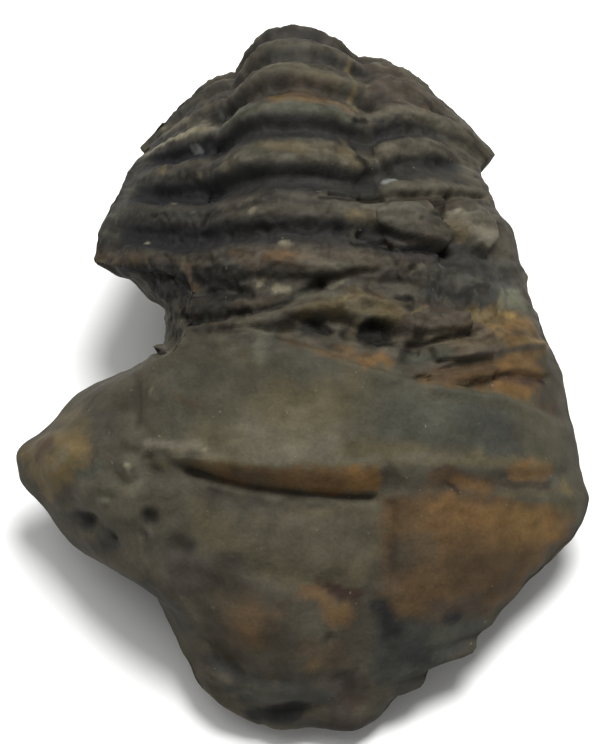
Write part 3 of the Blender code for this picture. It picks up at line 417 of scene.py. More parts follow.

# The back's areas of colour, traced as outlines in the camera's frame. Each has its tint, how many
# pixels wide its soft border is, its strength and its corners. Later ones lie over earlier ones.
AREAS = [
    # slab
    ("slab", 18, 0.95, "165,362 182,345 250,333 290,345 330,352 395,372 435,392 440,440 395,452 "
     "345,466 300,470 240,462 190,452 150,440 150,390"),
    ("slab grey", 22, 0.8, "160,362 185,345 225,338 218,380 205,420 190,450 150,448 146,395"),
    ("olive", 40, 0.9, "205,395 250,380 330,385 375,415 355,456 300,470 240,462 200,440"),
    ("beige", 20, 0.75, "244,425 300,418 340,430 350,450 320,462 260,455 235,440"),
    # partly the slab's grey-blue tone and partly a painted sheen on its right side
    ("slab blue", 30, 0.95, "390,375 440,388 500,398 555,420 574,455 568,480 510,464 440,455 "
     "375,445 355,425 370,400"),
    ("slate", 8, 0.55, "452,412 488,408 512,424 545,430 548,446 500,452 470,442"),
    ("slab pale", 6, 0.7, "340,446 400,440 470,453 520,462 500,468 440,464 390,463 345,466"),
    ("slab blue", 10, 0.6, "245,335 290,345 330,355 335,378 300,385 265,370"),
    # right edge of the slab and below it
    ("olive", 6, 0.8, "500,487 560,488 576,500 570,522 540,508 505,500"),
    ("tan", 5, 0.9, "565,475 577,490 575,503 562,492"),
    # ledge
    ("rust brown", 5, 0.8, "186,460 205,456 235,458 270,470 320,470 350,462 350,487 310,489 "
     "270,484 222,475 190,466"),
    ("tan", 4, 0.6, "200,455 225,456 245,465 230,470 205,464"),
    ("rust", 4, 0.6, "262,476 330,473 350,472 350,488 300,490 265,484"),
    ("orange", 4, 0.95, "345,466 362,461 378,464 382,476 380,494 357,492 345,484"),
    ("umber", 4, 0.7, "385,462 391,464 393,474 388,482 384,474"),
    ("maroon", 4, 0.85, "430,470 448,465 465,472 478,480 462,490 442,484"),
    ("brown", 4, 0.8, "458,474 480,474 500,480 494,490 464,491"),
    ("orange", 5, 0.75, "506,470 516,461 534,457 549,463 554,473 545,480 526,483 510,480"),
    # painted shadow: a dark line at the foot of the ledge, under the orange patch
    ("umber", 2, 0.7, "500,482 550,484 552,488 505,487"),
    # right front
    ("rust brown", 9, 0.95, "386,500 430,490 500,496 555,506 573,520 568,537 548,557 530,577 "
     "505,602 480,620 430,620 395,622 383,600 381,550"),
    ("rust", 14, 0.85, "424,508 470,498 510,504 552,514 566,528 548,547 520,545 480,540 440,540 "
     "424,532"),
    ("brown", 8, 0.3, "386,503 408,503 412,545 404,600 384,600"),
    ("orange", 8, 0.5, "450,508 500,508 545,520 560,530 540,542 500,535 460,525"),
    ("umber", 8, 0.8, "390,546 404,542 414,554 414,568 404,576 390,572"),
    ("brown", 8, 0.5, "405,556 440,552 450,575 430,588 410,582"),
    ("brown", 9, 0.8, "450,552 500,556 525,560 520,582 495,602 460,600 445,580"),
    ("rust brown", 7, 0.7, "393,590 410,582 426,594 423,612 405,618 391,610"),
    ("plum", 6, 0.7, "428,600 480,596 492,608 480,620 430,618"),
    # lower right
    ("slate", 12, 0.95, "380,622 430,622 482,618 490,626 470,641 450,667 420,682 400,697 385,712 "
     "370,702 372,650"),
    ("navy", 8, 0.85, "374,604 388,608 402,622 398,640 380,638"),
    # painted highlight: a grey-green sheen on the lower right
    ("grey green", 7, 0.7, "424,632 450,622 462,634 442,652 425,656"),
    ("navy", 6, 0.7, "398,654 430,650 438,660 410,668"),
    ("navy", 4, 0.7, "444,612 462,612 464,622 446,624"),
    # front middle
    ("plane", 10, 0.95, "180,500 240,494 300,503 380,500 383,560 378,586 350,589 320,585 290,591 "
     "262,580 240,562 215,556 188,538"),
    # partly the stone's colour and partly the ledge's painted shadow
    ("umber", 7, 0.35, "205,494 250,500 300,504 300,514 240,514 205,508"),
    ("taupe", 14, 0.5, "215,512 300,515 378,505 380,545 350,565 300,572 250,552"),
    ("umber", 6, 0.7, "136,500 156,496 162,512 150,522 136,514"),
    ("plum", 6, 0.85, "136,518 156,520 160,552 150,580 138,560"),
    ("taupe", 8, 0.5, "112,556 168,560 186,600 170,606 130,584"),
    ("navy", 7, 0.75, "166,538 184,534 194,548 182,560 168,554"),
    ("plum", 7, 0.7, "212,564 234,560 244,572 232,582 214,578"),
    ("umber", 12, 0.85, "162,560 215,560 240,575 270,590 292,600 300,622 300,652 280,668 240,664 "
     "212,650 198,620 178,590"),
    ("rust brown", 12, 0.7, "222,600 256,598 270,616 264,642 246,650 226,636"),
    ("rust", 7, 0.6, "298,588 330,597 350,604 359,618 346,629 330,621 318,606 300,602"),
    ("orange", 7, 0.35, "322,600 346,606 354,620 340,622"),
    ("maroon", 4, 0.85, "316,582 342,587 362,598 366,610 356,606 338,597 318,592"),
    ("grey", 9, 0.6, "284,612 318,612 328,632 316,648 286,642"),
    ("brown", 8, 0.6, "300,644 345,640 350,668 310,674"),
    ("plum grey", 8, 0.8, "200,655 235,663 280,671 325,676 328,688 262,688 222,678"),
    ("slate", 5, 0.9, "222,686 260,691 322,691 346,697 332,707 280,704 238,700"),
    ("navy", 5, 0.9, "240,706 300,703 314,712 296,723 252,720"),
    ("plum", 7, 0.85, "328,682 352,672 376,690 378,716 352,730 318,728 336,702"),
    ("black", 3, 0.6, "346,674 354,674 352,692 344,690"),
    ("graphite", 5, 0.6, "285,722 360,722 350,732 300,731"),
    # left cheek
    ("cheek", 8, 0.95, "58,408 100,384 140,369 166,360 152,385 150,432 132,452 100,442 84,430"),
    ("plum grey", 6, 0.6, "90,412 114,410 118,438 96,442"),
    ("grey", 8, 0.85, "70,500 95,470 125,456 132,480 112,500 102,522 80,518"),
    ("grey", 8, 0.9, "108,498 140,500 164,518 182,530 186,545 160,562 122,548 104,526"),
    ("pale", 5, 0.6, "108,488 128,478 142,478 138,494 112,500"),
    ("tan", 6, 0.95, "24,456 42,437 68,424 86,430 92,446 82,470 66,490 50,500 36,478"),
    ("olive", 5, 0.7, "58,418 78,410 90,420 84,434 66,428"),
    ("ochre", 6, 0.3, "62,444 84,440 90,452 74,460"),
    ("cream", 3, 0.4, "50,458 62,457 63,470 52,472"),
    ("umber", 3, 0.6, "37,450 54,446 57,455 42,459"),
    ("beige", 4, 0.35, "30,452 44,436 62,430 60,436 46,444 34,460"),
    ("brown", 6, 0.8, "36,444 54,440 58,450 44,458 36,454"),
    ("ochre", 4, 0.5, "52,458 64,456 70,470 62,484 54,474"),
    ("navy", 6, 0.85, "72,514 92,514 100,524 90,532 80,530"),
    ("navy", 6, 0.8, "96,532 112,536 118,548 106,552"),
    ("taupe", 6, 0.7, "108,548 160,556 176,578 168,592 140,582 112,566"),
    ("plum grey", 8, 0.6, "160,548 205,556 205,590 180,596 164,580"),
    ("plum grey", 5, 0.8, "118,574 150,582 176,600 190,630 180,632 160,604 122,584"),
    # lighter and darker patches over the head
    ("slab grey", 6, 0.5, "148,384 170,380 178,400 160,440 148,430"),
    # partly the stone's colour and partly the ledge's painted shadow
    ("plum grey", 9, 0.45, "200,482 240,492 282,498 284,514 236,514 200,504"),
    ("slab pale", 8, 0.4, "258,410 300,404 330,420 322,440 270,444"),
    ("taupe", 8, 0.5, "82,484 116,490 124,516 92,512"),
    ("pale", 8, 0.3, "236,642 274,650 284,700 246,690"),
    ("black", 8, 0.2, "352,596 440,590 430,636 396,676 350,670"),
    # painted shadow: the dark band at the foot of the ledge across the head
    ("black", 5, 0.45, "203,480 236,489 286,498 344,500 344,508 286,506 232,499 202,489"),
    ("pale", 8, 0.5, "140,452 200,446 290,452 380,456 384,466 290,462 200,458 142,464"),
    ("slab pale", 9, 0.35, "508,366 544,372 560,430 566,470 530,470 506,420"),
    ("black", 10, 0.22, "196,330 280,326 284,392 240,404 196,396"),
    ("taupe", 8, 0.4, "394,532 436,532 440,560 398,562"),
    ("beige", 7, 0.4, "72,484 104,500 130,530 150,566 136,566 104,536 74,508"),
    ("taupe", 7, 0.6, "350,688 402,680 388,710 352,722"),
    ("plum", 5, 0.5, "336,682 366,678 372,700 342,708"),
    ("navy", 8, 0.25, "384,634 440,640 456,650 420,676 384,700"),
    ("pale", 4, 0.35, "147,374 176,370 181,390 162,402 149,398"),
    ("umber", 6, 0.35, "236,470 270,474 270,486 236,482"),
    ("black", 10, 0.12, "404,360 448,380 500,396 500,410 440,404 400,392"),
    ("slab pale", 12, 0.3, "440,372 500,386 520,410 470,404 440,396"),
    ("ochre", 10, 0.3, "500,505 550,512 565,528 540,548 500,545"),
    ("umber", 8, 0.4, "366,558 400,560 402,602 366,604"),
    ("grey", 10, 0.4, "170,598 236,598 240,644 196,644"),
    ("pale", 8, 0.35, "78,476 116,478 120,514 84,514"),
    ("slab", 8, 0.5, "476,370 520,378 542,400 520,412 480,398"),
    ("black", 10, 0.12, "184,350 224,340 222,400 190,420"),
    # partly the stone's colour and partly the ledge's painted shadow
    ("umber", 8, 0.3, "236,486 284,486 284,516 236,516"),
    ("black", 8, 0.15, "116,516 164,520 168,556 120,552"),
    ("slab blue", 12, 0.4, "160,362 262,366 262,430 170,430"),
    ("pale", 6, 0.3, "356,684 398,684 392,706 360,712"),
    ("pale", 8, 0.25, "84,480 150,484 150,512 90,510"),
    # lobe
    ("plum grey", 4, 0.8, "252,34 290,26 322,32 336,44 300,38 262,42"),
    ("grey", 6, 0.8, "238,62 262,44 300,40 334,50 348,66 328,58 290,54 262,58"),
    ("sand", 6, 0.8, "232,84 256,64 292,58 330,70 352,92 334,88 300,76 262,72"),
    ("mauve", 6, 0.8, "236,94 262,86 285,84 290,100 268,110 236,112"),
    ("rust brown", 6, 0.7, "272,84 300,84 330,88 352,100 350,112 320,104 280,102"),
    ("rust", 7, 0.4, "290,84 322,87 330,96 314,102 292,98"),
    ("grey green", 6, 0.75, "212,122 246,108 300,102 344,108 362,122 340,118 300,112 252,118 "
     "216,130"),
    ("sand", 7, 0.85, "224,158 258,140 300,136 340,140 358,150 356,162 330,158 290,154 250,160 "
     "228,168"),
    ("sand", 8, 0.4, "326,142 354,144 356,158 330,154"),
    ("plum grey", 8, 0.85, "228,204 262,190 300,184 350,186 376,198 372,214 330,212 290,214 "
     "240,220"),
    ("sand", 5, 0.6, "344,186 376,190 372,200 346,196"),
    ("mauve", 8, 0.85, "226,252 260,238 300,236 350,240 378,256 372,276 330,278 280,272 230,268"),
    ("rust brown", 6, 0.6, "270,251 296,248 302,256 288,263 272,261"),
    ("brown", 6, 0.4, "228,248 250,248 252,260 230,260"),
    ("pale", 6, 0.35, "300,256 346,258 344,272 302,272"),
    ("umber", 8, 0.8, "196,288 240,284 280,282 300,296 262,314 210,320 190,310"),
    ("grey", 5, 0.7, "308,274 340,274 362,280 356,292 318,292"),
    # left side
    # the graphite over the left pleura is partly its dark stone and partly painted shade on the
    # side turned from the light
    ("graphite", 10, 0.9, "120,96 200,96 222,130 218,200 210,250 240,262 240,310 190,310 90,270 "
     "80,230 100,190"),
    ("plum grey", 6, 0.8, "176,100 200,90 226,80 228,100 214,118 186,122"),
    ("tan", 4, 0.2, "196,98 210,98 212,120 200,120"),
    ("cream", 4, 0.65, "162,126 180,120 200,117 213,122 208,133 195,139 175,139 164,134"),
    ("graphite", 5, 0.7, "148,142 215,138 216,152 190,152 146,156"),
    ("plum grey", 4, 0.8, "168,162 210,162 212,176 196,180 170,172"),
    ("graphite", 4, 0.7, "124,178 190,174 200,182 130,186"),
    ("graphite", 5, 0.7, "108,206 200,202 210,216 106,222"),
    ("umber", 5, 0.9, "88,246 200,244 222,262 180,262 130,268 100,276 88,268"),
    ("black", 5, 0.5, "110,246 200,242 196,252 110,254"),
    ("brown", 5, 0.5, "92,250 112,258 150,258 138,266 104,268 90,262"),
    ("navy", 5, 0.95, "128,266 176,262 186,280 196,300 190,322 172,310 150,292"),
    ("rust brown", 3, 0.5, "182,260 192,262 196,284 188,286"),
    # right side
    ("mauve", 6, 0.9, "360,64 392,66 422,84 442,104 462,120 430,114 400,110 363,110"),
    ("pale", 4, 0.5, "364,109 400,110 442,114 440,120 400,118 364,117"),
    ("rust", 3, 0.8, "424,102 438,104 436,112 424,110"),
    ("navy", 4, 0.8, "368,120 404,118 408,136 378,138"),
    ("slate", 6, 0.4, "416,120 446,122 462,138 440,142 420,134"),
    ("taupe", 5, 0.6, "358,140 400,138 470,142 474,154 400,152 362,150"),
    ("slate", 4, 0.8, "374,158 420,156 464,162 470,172 420,172 380,174"),
    ("taupe", 5, 0.6, "350,182 400,178 472,180 476,194 400,196 352,194"),
    ("umber", 4, 0.8, "384,196 440,194 494,198 494,210 440,206 388,206"),
    ("flake", 3, 0.95, "372,212 386,203 410,202 428,214 446,220 459,232 456,246 430,244 400,240 "
     "386,233 376,224"),
    ("mauve", 4, 0.6, "418,220 450,224 454,240 424,240"),
    ("tan", 4, 0.6, "348,208 372,208 376,224 352,224"),
    ("black", 3, 0.85, "434,204 450,208 460,226 456,234 442,220"),
    ("beige", 3, 0.9, "452,205 465,212 482,211 494,222 498,240 486,254 477,249 467,235 458,218"),
    # painted shadow below the grey flake
    ("navy", 4, 0.85, "354,234 392,243 440,246 462,240 450,258 420,263 394,259 368,247"),
    ("plum", 5, 0.7, "380,258 418,262 418,278 384,276"),
    ("graphite", 7, 0.8, "418,268 460,262 520,262 524,300 490,306 420,302"),
    ("sage", 4, 0.7, "498,290 520,290 524,304 502,306"),
    # behind the head
    ("olive", 4, 0.9, "316,296 350,292 378,298 400,316 396,326 374,312 340,310 318,312"),
    ("beige", 3, 0.6, "342,296 370,297 374,306 346,306"),
    # painted shade: black over the two hollows under the arch, dark even where light reaches their
    # floors
    ("black", 3, 0.9, "298,320 324,318 328,332 304,334"),
    ("black", 3, 0.95, "344,322 374,314 394,322 396,344 372,346 348,334"),
    ("umber", 7, 0.6, "178,318 230,316 236,344 184,346"),
    ("plum grey", 7, 0.5, "230,318 290,316 300,344 240,344"),
    ("brown", 5, 0.6, "284,338 312,342 320,352 290,350"),
    ("rust brown", 5, 0.7, "318,344 350,346 352,360 322,356"),
    ("rust", 5, 0.9, "354,351 384,352 392,366 360,366"),
    ("umber", 5, 0.95, "400,298 466,300 470,314 404,314"),
    ("mauve", 4, 0.85, "394,315 470,312 474,334 400,338"),
    ("grey", 4, 0.8, "408,346 490,342 494,360 420,366"),
    ("black", 3, 0.85, "400,346 414,346 414,362 402,362"),
    ("rust brown", 4, 0.9, "412,372 480,362 500,364 496,379 460,387 430,392 414,382"),
    ("rust brown", 4, 0.6, "412,378 450,376 452,388 428,392"),
    ("ochre", 5, 0.95, "468,306 500,298 526,318 538,338 544,360 522,368 504,346 488,326"),
    ("orange", 5, 0.7, "498,318 528,320 534,340 506,342"),
    ("orange", 4, 0.85, "494,356 530,350 546,374 542,394 516,397 500,386"),
    ("maroon", 2, 0.8, "504,377 548,378 548,385 506,384"),
    ("plum", 5, 0.6, "534,388 556,388 566,420 548,416"),
    # lighter and darker patches over the thorax
    ("graphite", 5, 0.6, "194,206 232,214 236,238 204,240 190,222"),
    ("slab grey", 8, 0.6, "404,362 440,372 470,392 440,398 405,380"),
    ("black", 7, 0.35, "218,190 262,188 300,194 306,214 262,220 220,214"),
    # partly painted shade: the left pleura darkened as the side turned from the light
    ("black", 9, 0.5, "140,204 216,194 224,250 200,330 176,318 150,262 120,250"),
    ("umber", 8, 0.2, "330,284 372,286 412,288 424,306 400,318 350,306"),
    ("olive", 6, 0.35, "322,166 350,172 352,184 326,180"),
    ("pale", 7, 0.45, "362,150 404,160 410,186 372,182"),
    ("slate", 8, 0.35, "234,112 300,104 306,130 300,160 240,186 232,150"),
    ("black", 5, 0.2, "236,138 262,134 262,156 238,160"),
    ("rust brown", 5, 0.5, "352,286 388,287 386,300 352,298"),
    ("pale", 7, 0.5, "316,152 362,152 362,198 320,194"),
    ("pale", 6, 0.5, "424,112 462,114 470,138 430,140"),
    ("rust brown", 5, 0.4, "276,76 340,78 344,88 276,88"),
    # partly painted shade: the left pleura darkened as the side turned from the light
    ("black", 6, 0.4, "150,262 200,262 212,316 180,322 160,300"),
    ("navy", 5, 0.3, "176,150 214,146 214,152 178,156"),
    ("black", 8, 0.32, "436,278 482,278 482,314 436,314"),
    ("tan", 6, 0.4, "318,294 350,289 380,293 400,310 398,322 374,311 340,308 318,311"),
    # this one and the next: partly painted shade on the left pleura, the side turned from the light
    ("black", 8, 0.3, "140,270 190,270 200,316 176,330 150,300"),
    ("black", 9, 0.2, "120,160 210,150 216,200 140,204"),
    ("pale", 8, 0.3, "400,160 446,164 448,196 402,194"),
    ("pale", 7, 0.3, "362,204 400,206 398,240 364,236"),
    ("rust brown", 6, 0.35, "440,322 500,318 538,334 546,366 500,362 440,352"),
    ("orange", 6, 0.3, "484,360 520,356 524,392 492,390"),
]

# Stains, flakes of other rock and bare stone, and a few painted shadows and patches of painted
# shade, which lie over the areas. Each has its tint, its half-width in millimetres, its strength,
# and its route, which is traced as the areas are.
STAINS = [
    # axial rings
    ("pale", 0.36, 0.35, "238,78 262,66 290,63 320,70 345,85"),
    ("cream", 0.18, 0.4, "262,64"),
    ("ochre", 0.46, 0.35, "276,95"),
    ("sage", 0.33, 0.2, "225,123 248,113 290,107 345,118"),
    ("ochre", 0.37, 0.2, "262,142 300,148"),
    ("ochre", 0.49, 0.2, "345,150 356,160"),
    ("pale", 0.3, 0.2, "240,214 290,208 345,210"),
    ("cream", 0.25, 0.55, "254,212"),
    # axial furrow ends
    ("tan", 0.18, 0.6, "351,55 355,80 357,108"),
    ("olive", 0.33, 0.4, "350,135 355,165"),
    ("black", 0.41, 0.8, "359,68"),
    ("black", 0.25, 0.9, "354,119 363,120"),
    ("black", 0.33, 0.9, "359,156 371,167"),
    ("black", 0.27, 0.7, "212,112 216,120"),
    ("black", 0.21, 0.8, "202,222"),
    ("black", 0.28, 0.9, "205,270"),
    # left ribs
    ("cream", 0.45, 0.9, "148,153 163,144 179,137 192,132"),
    ("sand", 0.25, 0.3, "187,122 191,128"),
    ("umber", 0.26, 0.9, "139,380 137,403 138,426"),
    ("sand", 0.21, 0.5, "203,98 206,110"),
    ("cream", 0.36, 0.6, "196,132 211,130"),
    ("ice", 0.22, 0.6, "188,144 194,143"),
    ("cream", 0.16, 0.5, "200,175"),
    ("cream", 0.15, 0.4, "237,158"),
    ("taupe", 0.41, 0.6, "150,173 180,167 205,163"),
    ("tan", 0.14, 0.7, "165,166 163,172"),
    ("grey", 0.33, 0.35, "115,212 150,210 205,206"),
    ("cream", 0.15, 0.9, "142,239"),
    ("cream", 0.16, 0.6, "172,203"),
    ("brown", 0.25, 0.35, "125,262 138,262"),
    ("brown", 0.2, 0.6, "182,262 186,272 192,284"),
    ("black", 0.2, 0.7, "194,268 196,278"),
    # right ribs
    ("plum", 0.26, 0.4, "370,88 410,92"),
    ("pale", 0.39, 0.4, "385,112 440,115"),
    ("pale", 0.42, 0.15, "378,147 430,143 478,152"),
    ("ice", 0.24, 0.8, "386,177 396,177"),
    ("tan", 0.2, 0.5, "437,176"),
    ("pale", 0.44, 0.35, "430,186 480,190"),
    ("sand", 0.32, 0.5, "385,186 420,181"),
    ("black", 0.15, 0.8, "322,195 345,197 384,197"),
    ("umber", 0.34, 0.5, "395,197 478,202"),
    ("sand", 0.34, 0.5, "476,135 487,165"),
    # flakes
    ("sand", 0.2, 0.4, "358,230 368,215"),
    ("mauve", 0.14, 0.6, "385,239 450,241"),
    ("pale", 0.45, 0.3, "484,224 490,230"),
    ("tan", 0.18, 0.5, "455,212 466,236"),
    ("black", 0.14, 0.9, "450,214 458,230 456,242 444,256"),
    ("ice", 0.14, 0.9, "444,263"),
    ("plum", 0.35, 0.7, "402,254 432,256"),
    # painted shadow below the grey flake
    ("black", 0.21, 0.9, "354,240 375,243 396,248"),
    ("black", 0.23, 0.7, "432,213 448,214"),
    # worn rings
    ("rust", 0.3, 0.45, "271,257 284,255"),
    ("brown", 0.24, 0.5, "229,252 240,249"),
    ("cream", 0.26, 0.8, "285,242"),
    ("cream", 0.26, 0.75, "257,281"),
    ("cream", 0.28, 0.85, "275,289 285,288"),
    ("cream", 0.15, 0.4, "330,285 346,280"),
    ("sage", 0.3, 0.4, "325,264 345,268"),
    ("pale", 0.16, 0.6, "362,289"),
    ("mauve", 0.4, 0.5, "300,270 342,255"),
    ("black", 0.4, 0.75, "212,290 248,291"),
    ("mauve", 0.26, 0.7, "236,303 274,300"),
    ("black", 0.2, 0.85, "180,316 225,312 262,309 281,303 300,291 323,279"),
    ("umber", 0.16, 0.7, "323,279 353,271 380,268"),
    ("sage", 0.33, 0.3, "300,292 328,292"),
    ("maroon", 0.26, 0.5, "405,262"),
    ("black", 0.26, 0.9, "398,298 410,296"),
    ("umber", 0.14, 0.8, "430,303 450,309 470,312"),
    ("tan", 0.13, 0.7, "409,315 428,305"),
    ("slate", 0.36, 0.5, "485,300 495,290"),
    # arch and plates
    ("sand", 0.39, 0.5, "240,323 260,318"),
    ("sage", 0.37, 0.4, "262,332 266,340"),
    ("olive", 0.38, 0.5, "285,332"),
    ("brown", 0.26, 0.6, "290,342 297,346"),
    ("tan", 0.38, 0.5, "306,312 345,301 379,304 395,313"),
    ("beige", 0.3, 0.4, "344,305 375,304"),
    # painted shade under the arch: this umber band and the black in its hollows below
    ("umber", 0.32, 0.7, "320,336 340,340"),
    ("black", 0.3, 0.9, "306,323 333,331"),
    ("black", 0.26, 0.95, "344,330 358,335"),
    ("black", 0.46, 0.95, "366,328 388,335"),
    ("olive", 0.34, 0.5, "356,320 352,342"),
    ("rust", 0.22, 0.4, "340,345 354,350"),
    ("brown", 0.19, 0.6, "352,353 374,351"),
    ("orange", 0.31, 0.5, "372,358 392,362"),
    ("black", 0.26, 0.9, "412,352"),
    ("black", 0.19, 0.7, "415,378"),
    ("mauve", 0.46, 0.8, "415,331 464,319"),
    ("umber", 0.13, 0.9, "402,346 430,341 455,335 480,330"),
    ("grey green", 0.33, 0.6, "414,358 448,350"),
    ("mauve", 0.16, 0.9, "424,371 475,354 540,348"),
    ("brown", 0.26, 0.8, "438,373 490,367"),
    ("rust", 0.25, 0.4, "425,380 450,383"),
    ("rust brown", 0.32, 0.7, "465,380 490,387"),
    ("tan", 0.35, 0.8, "476,316 490,308"),
    ("sage", 0.44, 0.8, "507,302 520,301"),
    ("mauve", 0.29, 0.5, "522,316 534,320"),
    ("maroon", 0.2, 0.8, "500,375 546,377"),
    ("orange", 0.33, 0.7, "500,390 530,394"),
    ("black", 0.21, 0.7, "545,380"),
    ("brown", 0.34, 0.5, "540,405 555,412"),
    ("grey green", 0.3, 0.6, "425,388 460,395 500,400"),
    # slab
    ("pale", 0.25, 0.5, "196,452 254,461 378,458"),
    ("sage", 0.25, 0.4, "258,345 262,362"),
    ("pale", 0.26, 0.6, "395,456 460,455"),
    ("brown", 0.26, 0.5, "175,396 195,408"),
    ("grey green", 0.26, 0.5, "175,435"),
    ("cream", 0.19, 0.6, "151,392"),
    # left cheek
    ("tan", 0.4, 0.4, "58,418 80,413"),
    ("brown", 0.42, 0.7, "44,447 55,441"),
    ("beige", 0.3, 0.5, "62,468 71,452"),
    ("brown", 0.35, 0.6, "40,455"),
    ("grey green", 0.4, 0.7, "84,476 104,463"),
    ("cream", 0.25, 0.85, "131,466"),
    ("sage", 0.41, 0.4, "101,502 112,494"),
    ("black", 0.45, 0.6, "148,517"),
    ("plum", 0.32, 0.8, "143,535"),
    ("navy", 0.34, 0.6, "104,530 112,545"),
    ("graphite", 0.19, 0.8, "90,562 150,592"),
    ("beige", 0.32, 0.7, "150,445 198,447"),
    ("cream", 0.3, 0.7, "174,450 181,450"),
    ("cream", 0.19, 0.6, "205,448"),
    ("tan", 0.26, 0.5, "165,466"),
    ("umber", 0.25, 0.6, "148,458 156,470"),
    # ledge
    ("rust", 0.45, 0.5, "212,470 262,477 346,481"),
    ("mauve", 0.31, 0.4, "238,471 272,479"),
    ("rust", 0.31, 0.7, "292,483 340,486"),
    ("umber", 0.25, 0.6, "394,472 399,479"),
    ("brown", 0.45, 0.8, "434,480 450,473"),
    ("black", 0.19, 0.6, "450,485 458,493"),
    ("rust", 0.4, 0.8, "458,479 490,488"),
    # painted shadow: a dark line at the foot of the ledge, under the orange patch
    ("umber", 0.15, 0.7, "510,482 550,482"),
    ("grey green", 0.45, 0.5, "524,497 570,500"),
    ("tan", 0.39, 0.5, "565,486"),
    # front of the head
    ("beige", 0.37, 0.3, "293,520 301,521"),
    ("graphite", 0.31, 0.4, "238,522 250,506"),
    ("plum", 0.32, 0.6, "228,570"),
    ("rust", 0.44, 0.5, "312,595 330,596"),
    ("maroon", 0.26, 0.9, "330,588 361,598"),
    ("umber", 0.39, 0.7, "325,640"),
    ("ochre", 0.4, 0.35, "315,666"),
    ("graphite", 0.47, 0.6, "212,662 240,680 300,688"),
    ("pale", 0.16, 0.6, "232,695 250,693"),
    ("maroon", 0.4, 0.5, "345,695 362,701"),
    ("umber", 0.28, 0.7, "350,684"),
    # front right
    ("orange", 0.43, 0.9, "550,520 555,535"),
    ("orange", 0.45, 0.5, "435,505 447,501"),
    ("navy", 0.34, 0.6, "378,604 391,626"),
    ("graphite", 0.48, 0.5, "405,660"),
    ("navy", 0.37, 0.8, "455,618"),
]
# How soft the stains' edges are: a share of the half-width, with a least width.
STAIN_SOFTNESS, STAIN_EDGE = 0.65, 0.12
# How far the marks' edges wander, by broad and by fine noise, and the half-width and the soft
# border from which they wander in full.
STAIN_WANDER, FINE_WANDER = 0.5, 0.18
WANDER_FROM, AREA_WANDER_FROM = 0.6, 0.4
# Paler and darker blotches on the thorax: which end of the noise has them, how strong each tint
# is, and where in the noise they start and are full.
BLOTCHES = [("pale", 1, 0.32), ("umber", -1, 0.55)]
BLOTCH_EDGE = (0.05, 0.5)
# How dark the dirt and painted shade make each place between one furrow (0) and the next (1),
# on the lobe and ribs: the dark bands stand partly for dirt and partly for shade in the furrows
# and on their walls.
LOBE_DIRT_AND_SHADE = [(0.0, 0.85), (0.18, 0.85), (0.36, 0.0), (0.58, 0.0), (0.84, 0.75), (1.0, 0.85)]
LEFT_DIRT_AND_SHADE = [(0.0, 0.95), (0.20, 0.95), (0.36, 0.0), (0.58, 0.0), (0.78, 0.95), (1.0, 0.95)]
RIGHT_DIRT_AND_SHADE = [(0.0, 0.75), (0.16, 0.70), (0.34, 0.0), (0.62, 0.0), (0.80, 0.65), (1.0, 0.75)]
# How much of it lies in the furrows, by distance along the body, and how deep they are for that.
DIRT_AND_SHADE_SHARE = [(0, 0.35), (31.2, 0.35), (32.8, 1.0), (43, 1.0), (45.5, 0.6), (70, 0.6)]
DIRT_AND_SHADE_DEPTH = (0.1, 0.5)
# The lights are stronger than the tints expect, so every tint is darkened to this share.
DEPTH = 0.66

# --- The material, the floor and the lights, in metres and watts ---
# Each noise's scale, detail and roughness; the span of a noise that is used; and what it becomes.
MOTTLE_NOISE, MOTTLE_SHADES = (600, 8, 0.55), (0.78, 1.22)
GRAIN_NOISE, GRAIN_SHADES = (4200, 4, 0.7), (0.86, 1.14)
NOISE_SPAN = (0.3, 0.7)
# Pale specks, which only the noise's peaks show, and how much of their colour they have.
SPECK_NOISE, SPECK_SPAN = (2600, 2, 0.5), (0.73, 0.80)
SPECK_COLOUR, SPECK_SHARE = (0.22, 0.20, 0.15, 1.0), 0.4
ROUGHNESS = (0.52, 0.74)
SPECULAR = 0.06
# The bumps' strength and depth.
BUMP_NOISE, COARSE_BUMP = (1300, 5, 0.55), (0.4, 0.0002)
FINE_BUMP = (0.3, 0.00008)

FLOOR_SIZE = 3.0
FLOOR_COLOUR = (0.80, 0.80, 0.79, 1.0)
FLOOR_ROUGHNESS = 0.9
WORLD_COLOUR, WORLD_STRENGTH = (1.0, 1.0, 1.0, 1.0), 0.37
# Each soft light's place, size and power, all turned to one point.
LIGHTS = [("key", (0.05, 0.09, 0.34), 0.16, 1.72), ("fill", (-0.10, 0.05, 0.36), 0.30, 0.35)]
LIGHT_AIM = (0, 0, 0.01)


def smooth_table(table, at):
    """The table's value at each place, on a smooth curve that never swings past its points."""
    xs, ys = (np.array(column, float) for column in zip(*table))
    step = np.diff(xs)
    slope = np.diff(ys) / step
    tangent = np.zeros_like(ys)
    tangent[0], tangent[-1] = slope[0], slope[-1]
    for i in range(1, len(xs) - 1):
        if slope[i - 1] * slope[i] > 0:
            before, after = 2 * step[i] + step[i - 1], step[i] + 2 * step[i - 1]
            tangent[i] = (before + after) / (before / slope[i - 1] + after / slope[i])
    at = np.clip(at, xs[0], xs[-1])
    i = np.clip(np.searchsorted(xs, at, side="right") - 1, 0, len(xs) - 2)
    t = (at - xs[i]) / step[i]
    return (
        (2 * t**3 - 3 * t**2 + 1) * ys[i]
        + (t**3 - 2 * t**2 + t) * step[i] * tangent[i]
        + (3 * t**2 - 2 * t**3) * ys[i + 1]
        + (t**3 - t**2) * step[i] * tangent[i + 1]
    )


def ease(low, high, value):
    """0 below low, 1 above high, and a smooth rise between them."""
    t = np.clip((value - low) / (high - low), 0, 1)
    return t * t * (3 - 2 * t)


def within(start, end, value):
    """1 between two stretches and 0 outside them, with a smooth rise and fall over each."""
    return ease(*start, value) * (1 - ease(*end, value))


